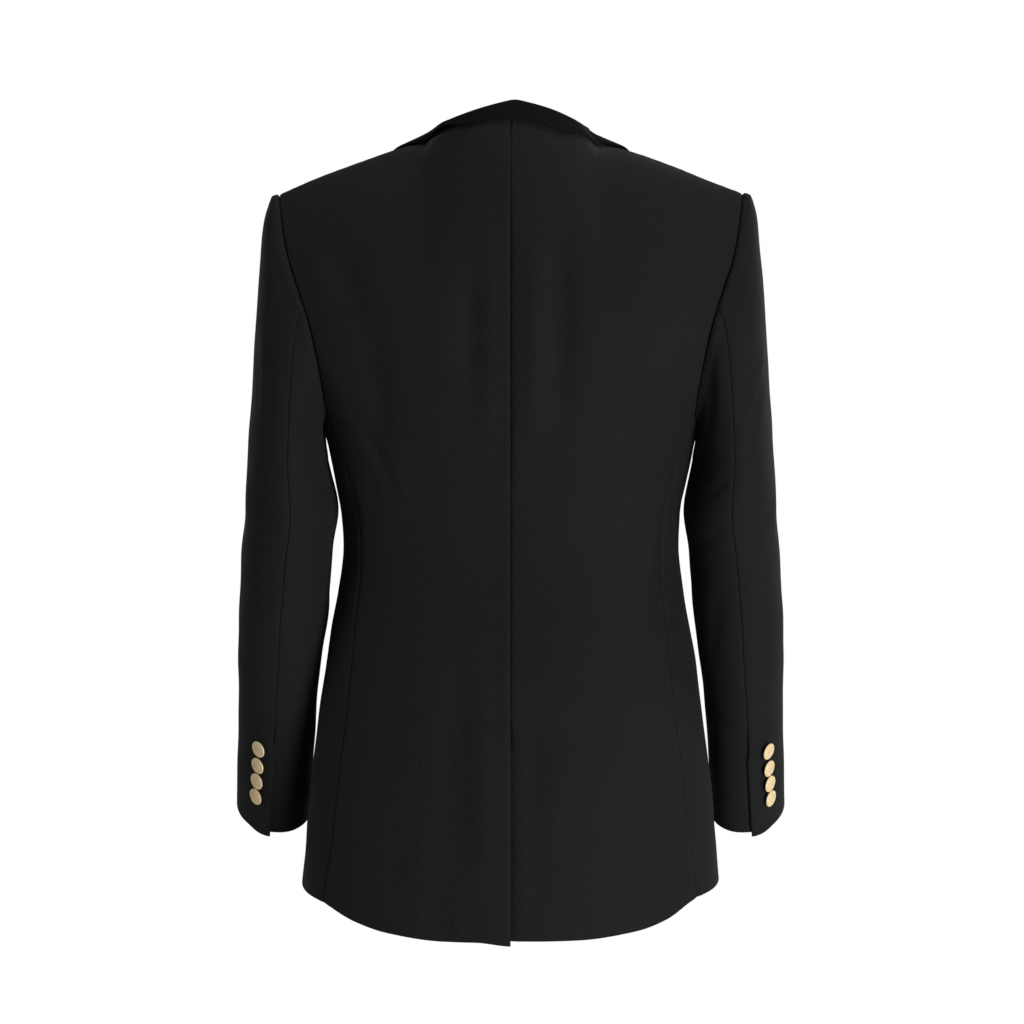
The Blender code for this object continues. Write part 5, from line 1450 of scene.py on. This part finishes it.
def thread():
    """Sewing thread, a little lighter than the cloth."""
    colour = tuple(SEWING["tone"] * c for c in bpy.context.scene.blazer.wool_colour) + (1,)
    return grouped("black_thread", wool_group,
                   {"Grain": "Object", "Place": "Object", "Colour": colour,
                    "Fleck": SEWING["fleck"], "Pitch": SEWING["pitch"]},
                   {"Specular IOR Level": SEWING["shine"], "Sheen Weight": SEWING["nap"]},
                   SEWING_BUMP)


def gilt():
    """The buttons' gilding."""
    colour = tuple(bpy.context.scene.blazer.gilt_colour) + (1,)
    return grouped("gilt", gilt_group, {"Place": "Object", "Colour": colour},
                   {"Metallic": GILT_METAL}, GILT_BUMP)


def dress(made, node, material):
    """Let a finished piece stand for its CAD node."""
    made.data.materials.clear()
    made.data.materials.append(material)
    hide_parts(node)
    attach(made, "root")
    return made


def cloth_piece(name, make, *arguments, material=wool):
    """Make one piece of cloth in place of its CAD node."""
    dress(make(*arguments, name), name, material())


# ---- the stage ------------------------------------------------------------------------

TARGET = Vector((0.00104, 0.0, -0.330))     # what the camera looks at
CAMERA_FAR, CAMERA_LEAN, CAMERA_LENS = 3.0, radians(6), 121.93
FLOOR_Z, FLOOR_RADIUS, FLOOR_SIDES = -1.25, 1.4, 128
FLOOR_SPECKLE, FLOOR_TONES, FLOOR_ROUGH = (60.0, 3.0), (0.78, 0.84), 0.9

# Lamps, all aimed at the garment: name, place, diameter, power in watts.
LAMPS = (
    ("key", (1.8, -2.6, -0.7), 1.6, 82.0), ("top", (0.0, 0.0, 3.0), 1.6, 36.0),
    ("fill", (-2.4, -2.4, 0.6), 2.2, 1.0), ("right", (3.0, 0.9, 0.6), 1.6, 11.0),
    ("left", (-3.0, -0.5, 0.2), 1.6, 14.5), ("back_right", (1.7, 2.6, 0.2), 1.8, 14.0),
    ("back_left", (-1.7, 2.6, 0.2), 1.8, 8.0),
)


def area_light(name, place, size, power):
    """A round lamp aimed at the garment."""
    data = bpy.data.lights.new(name, "AREA")
    data.shape, data.size, data.energy = "DISK", size, power
    made = linked(name, data)
    made.location = place
    made.rotation_euler = (TARGET - Vector(place)).to_track_quat("-Z", "Y").to_euler()


def make_floor():
    """A plain pale disc of floor."""
    turns = [tau * k / FLOOR_SIDES for k in range(FLOOR_SIDES)]
    mesh = bpy.data.meshes.new("floor")
    mesh.from_pydata([(FLOOR_RADIUS * cos(t), FLOOR_RADIUS * sin(t), FLOOR_Z) for t in turns],
                     [], [tuple(range(FLOOR_SIDES))])
    made = linked("floor", mesh)
    material = bpy.data.materials.new("pale_floor")
    material.use_nodes = True
    tree = material.node_tree
    place = tree.nodes.new("ShaderNodeTexCoord")
    speckle = noise(tree, place.outputs["Object"], *FLOOR_SPECKLE)
    ramp = wired(tree, "ShaderNodeValToRGB", {"Fac": speckle})
    for element, tone in zip(ramp.color_ramp.elements, FLOOR_TONES):
        element.color = (tone, tone, tone, 1)
    shader = tree.nodes["Principled BSDF"].inputs
    tree.links.new(ramp.outputs["Color"], shader["Base Color"])
    shader["Roughness"].default_value = FLOOR_ROUGH
    mesh.materials.append(material)


def make_world(strength):
    """White to the camera, softer to everything else."""
    world = bpy.data.worlds.new("studio")
    bpy.context.scene.world = world
    world.use_nodes = True
    tree = world.node_tree
    seen = tree.nodes.new("ShaderNodeLightPath")
    level = wired(tree, "ShaderNodeMapRange", {"Value": seen.outputs["Is Camera Ray"],
                                               "To Min": strength, "To Max": 1.0})
    sky = tree.nodes["Background"].inputs
    sky["Color"].default_value = (1, 1, 1, 1)
    tree.links.new(level.outputs["Result"], sky["Strength"])


def make_camera():
    """The photo's view: from behind and a little above."""
    data = bpy.data.cameras.new("camera")
    data.sensor_width = 36
    data.lens = CAMERA_LENS
    made = linked("camera", data)
    made.location = TARGET + CAMERA_FAR * Vector((0, -cos(CAMERA_LEAN), sin(CAMERA_LEAN)))
    made.rotation_euler = (pi / 2 - CAMERA_LEAN, 0, 0)
    bpy.context.scene.camera = made
    bpy.context.scene.view_settings.view_transform = "Standard"


# ---- the add-on -----------------------------------------------------------------------

class BlazerSettings(bpy.types.PropertyGroup):
    """Sizes and colours of the blazer's dressing."""

    wool_colour: bpy.props.FloatVectorProperty(
        name="Wool", description="Colour of the cloth", subtype="COLOR", size=3,
        default=(0.0085, 0.0085, 0.0085), min=0, max=1)
    # share of the cloth's tone that darkens the collar: painted shade
    collar_tone: bpy.props.FloatProperty(
        name="Collar tone", description="The collar's tone as a share of the cloth's",
        subtype="FACTOR", default=0.30, min=0, max=1)
    wool_fleck: bpy.props.FloatProperty(
        name="Fleck", description="How much single threads differ in tone", subtype="FACTOR",
        default=0.55, min=0, max=1)
    wool_shine: bpy.props.FloatProperty(
        name="Shine", description="Strength of the cloth's plain reflection", subtype="FACTOR",
        default=0.20, min=0, max=1)
    wool_nap: bpy.props.FloatProperty(
        name="Nap", description="Strength of the fibres' glow at grazing angles",
        subtype="FACTOR", default=0.05, min=0, max=1)
    weave_pitch: bpy.props.FloatProperty(
        name="Weave", description="Width of one rib of the twill", subtype="DISTANCE",
        unit="LENGTH", precision=5, default=0.0007, min=0.0003, max=0.003)
    stitch_length: bpy.props.FloatProperty(
        name="Stitch", description="Length of a buttonhole stitch", subtype="DISTANCE",
        unit="LENGTH", precision=5, default=0.0016, min=0.0008, max=0.004)
    thread: bpy.props.FloatProperty(
        name="Thread", description="Thickness of the buttonhole thread", subtype="DISTANCE",
        unit="LENGTH", precision=5, default=0.00045, min=0.0002, max=0.001)
    gilt_colour: bpy.props.FloatVectorProperty(
        name="Gilt", description="Colour of the buttons", subtype="COLOR", size=3,
        default=(1.0, 0.79, 0.47), min=0, max=1)
    beads: bpy.props.IntProperty(
        name="Beads", description="Beads round a button's rim", default=44, min=12, max=90)
    sky: bpy.props.FloatProperty(
        name="Surroundings", description="Brightness of the white surroundings on the cloth",
        default=0.045, min=0, max=2)
    light: bpy.props.FloatProperty(
        name="Light", description="Strength of all the studio's lamps", default=1.0,
        min=0, max=20)


class BLAZER_OT_backs(bpy.types.Operator):
    """Make the two half backs with the centre vent"""
    bl_idname = "blazer.backs"
    bl_label = "Backs"

    def execute(self, context):
        for side, word in SIDES:
            cloth_piece("back_" + word, make_back, side)
        centre_allowance()
        return {"FINISHED"}


class BLAZER_OT_sides(bpy.types.Operator):
    """Make the narrow pieces under the arms"""
    bl_idname = "blazer.sides"
    bl_label = "Side pieces"

    def execute(self, context):
        for side, word in SIDES:
            cloth_piece("side_" + word, make_side, side)
            side_allowance(side, word, True)
            side_allowance(side, word, False)
        return {"FINISHED"}


class BLAZER_OT_fronts(bpy.types.Operator):
    """Make the fronts"""
    bl_idname = "blazer.fronts"
    bl_label = "Fronts"

    def execute(self, context):
        for side, word in SIDES:
            cloth_piece("front_" + word, make_front, side)
            shoulder_allowance(side, word)
        return {"FINISHED"}


class BLAZER_OT_sleeves(bpy.types.Operator):
    """Make the two-piece sleeves"""
    bl_idname = "blazer.sleeves"
    bl_label = "Sleeves"

    def execute(self, context):
        for side, word in SIDES:
            cloth_piece("upper_sleeve_" + word, make_sleeve, side, True)
            cloth_piece("under_sleeve_" + word, make_sleeve, side, False)
            armhole_allowance(side, word)
        return {"FINISHED"}


class BLAZER_OT_collar(bpy.types.Operator):
    """Make the collar and the lapels"""
    bl_idname = "blazer.collar"
    bl_label = "Collar and lapels"

    def execute(self, context):
        # the collar wears a darker copy of the wool, painted shade
        cloth_piece("collar", make_collar, material=shaded_collar_wool)
        for side, word in SIDES:
            cloth_piece("lapel_" + word, make_lapel, side)
        return {"FINISHED"}


class BLAZER_OT_cuff_buttons(bpy.types.Operator):
    """Make four buttons on each cuff"""
    bl_idname = "blazer.cuff_buttons"
    bl_label = "Cuff buttons"

    def execute(self, context):
        for side, word in SIDES:
            cloth = bpy.data.objects["upper_sleeve_" + word + "_cloth"]
            for number, z in enumerate(CUFF_BUTTON_LEVELS[side], 1):
                turn = float(read(SLEEVE, z, 7)) + CUFF_BUTTON_PAST[side]
                point, out = sleeve_spot(side, z, turn)
                lean = Vector((side * CUFF_BUTTON_LEAN[0], 0, CUFF_BUTTON_LEAN[1]))
                make_button(f"cuff_button_{word}_{number}", BUTTON, cloth, point, out, number, lean)
        return {"FINISHED"}


class BLAZER_OT_front_buttons(bpy.types.Operator):
    """Make the two front buttons and their buttonholes"""
    bl_idname = "blazer.front_buttons"
    bl_label = "Front buttons"

    def execute(self, context):
        cloth = bpy.data.objects["front_right_cloth"]
        for number, z in enumerate(FRONT_BUTTON_Z, 1):
            point, out = on_front(0.0, z)
            make_button(f"front_button_{number}", FRONT_BUTTON, cloth, point, out, number + 9)
            make_buttonhole(f"buttonhole_{number}", cloth, z)
        return {"FINISHED"}


class BLAZER_OT_stage(bpy.types.Operator):
    """Set up the floor, the light and the camera"""
    bl_idname = "blazer.stage"
    bl_label = "Stage"

    def execute(self, context):
        settings = context.scene.blazer
        make_floor()
        make_world(settings.sky)
        for name, place, size, power in LAMPS:
            area_light(name, place, size, power * settings.light)
        make_camera()
        return {"FINISHED"}


class BLAZER_PT_panel(bpy.types.Panel):
    """The blazer's sizes, colours and pieces"""
    bl_idname = "BLAZER_PT_panel"
    bl_label = "Blazer"
    bl_space_type = "VIEW_3D"
    bl_region_type = "UI"
    bl_category = "Blazer"

    def draw(self, context):
        for name in BlazerSettings.__annotations__:
            self.layout.prop(context.scene.blazer, name)
        for operator in OPERATORS:
            self.layout.operator(operator.bl_idname)


OPERATORS = (BLAZER_OT_backs, BLAZER_OT_sides, BLAZER_OT_fronts, BLAZER_OT_sleeves,
             BLAZER_OT_collar, BLAZER_OT_cuff_buttons, BLAZER_OT_front_buttons, BLAZER_OT_stage)
CLASSES = (BlazerSettings,) + OPERATORS + (BLAZER_PT_panel,)


def register():
    for item in CLASSES:
        bpy.utils.register_class(item)
    bpy.types.Scene.blazer = bpy.props.PointerProperty(type=BlazerSettings)


def unregister():
    del bpy.types.Scene.blazer
    for item in reversed(CLASSES):
        bpy.utils.unregister_class(item)


def main():
    register()
    for operator in OPERATORS:
        getattr(bpy.ops.blazer, operator.bl_idname.split(".")[1])()


if __name__ == "__main__":
    main()
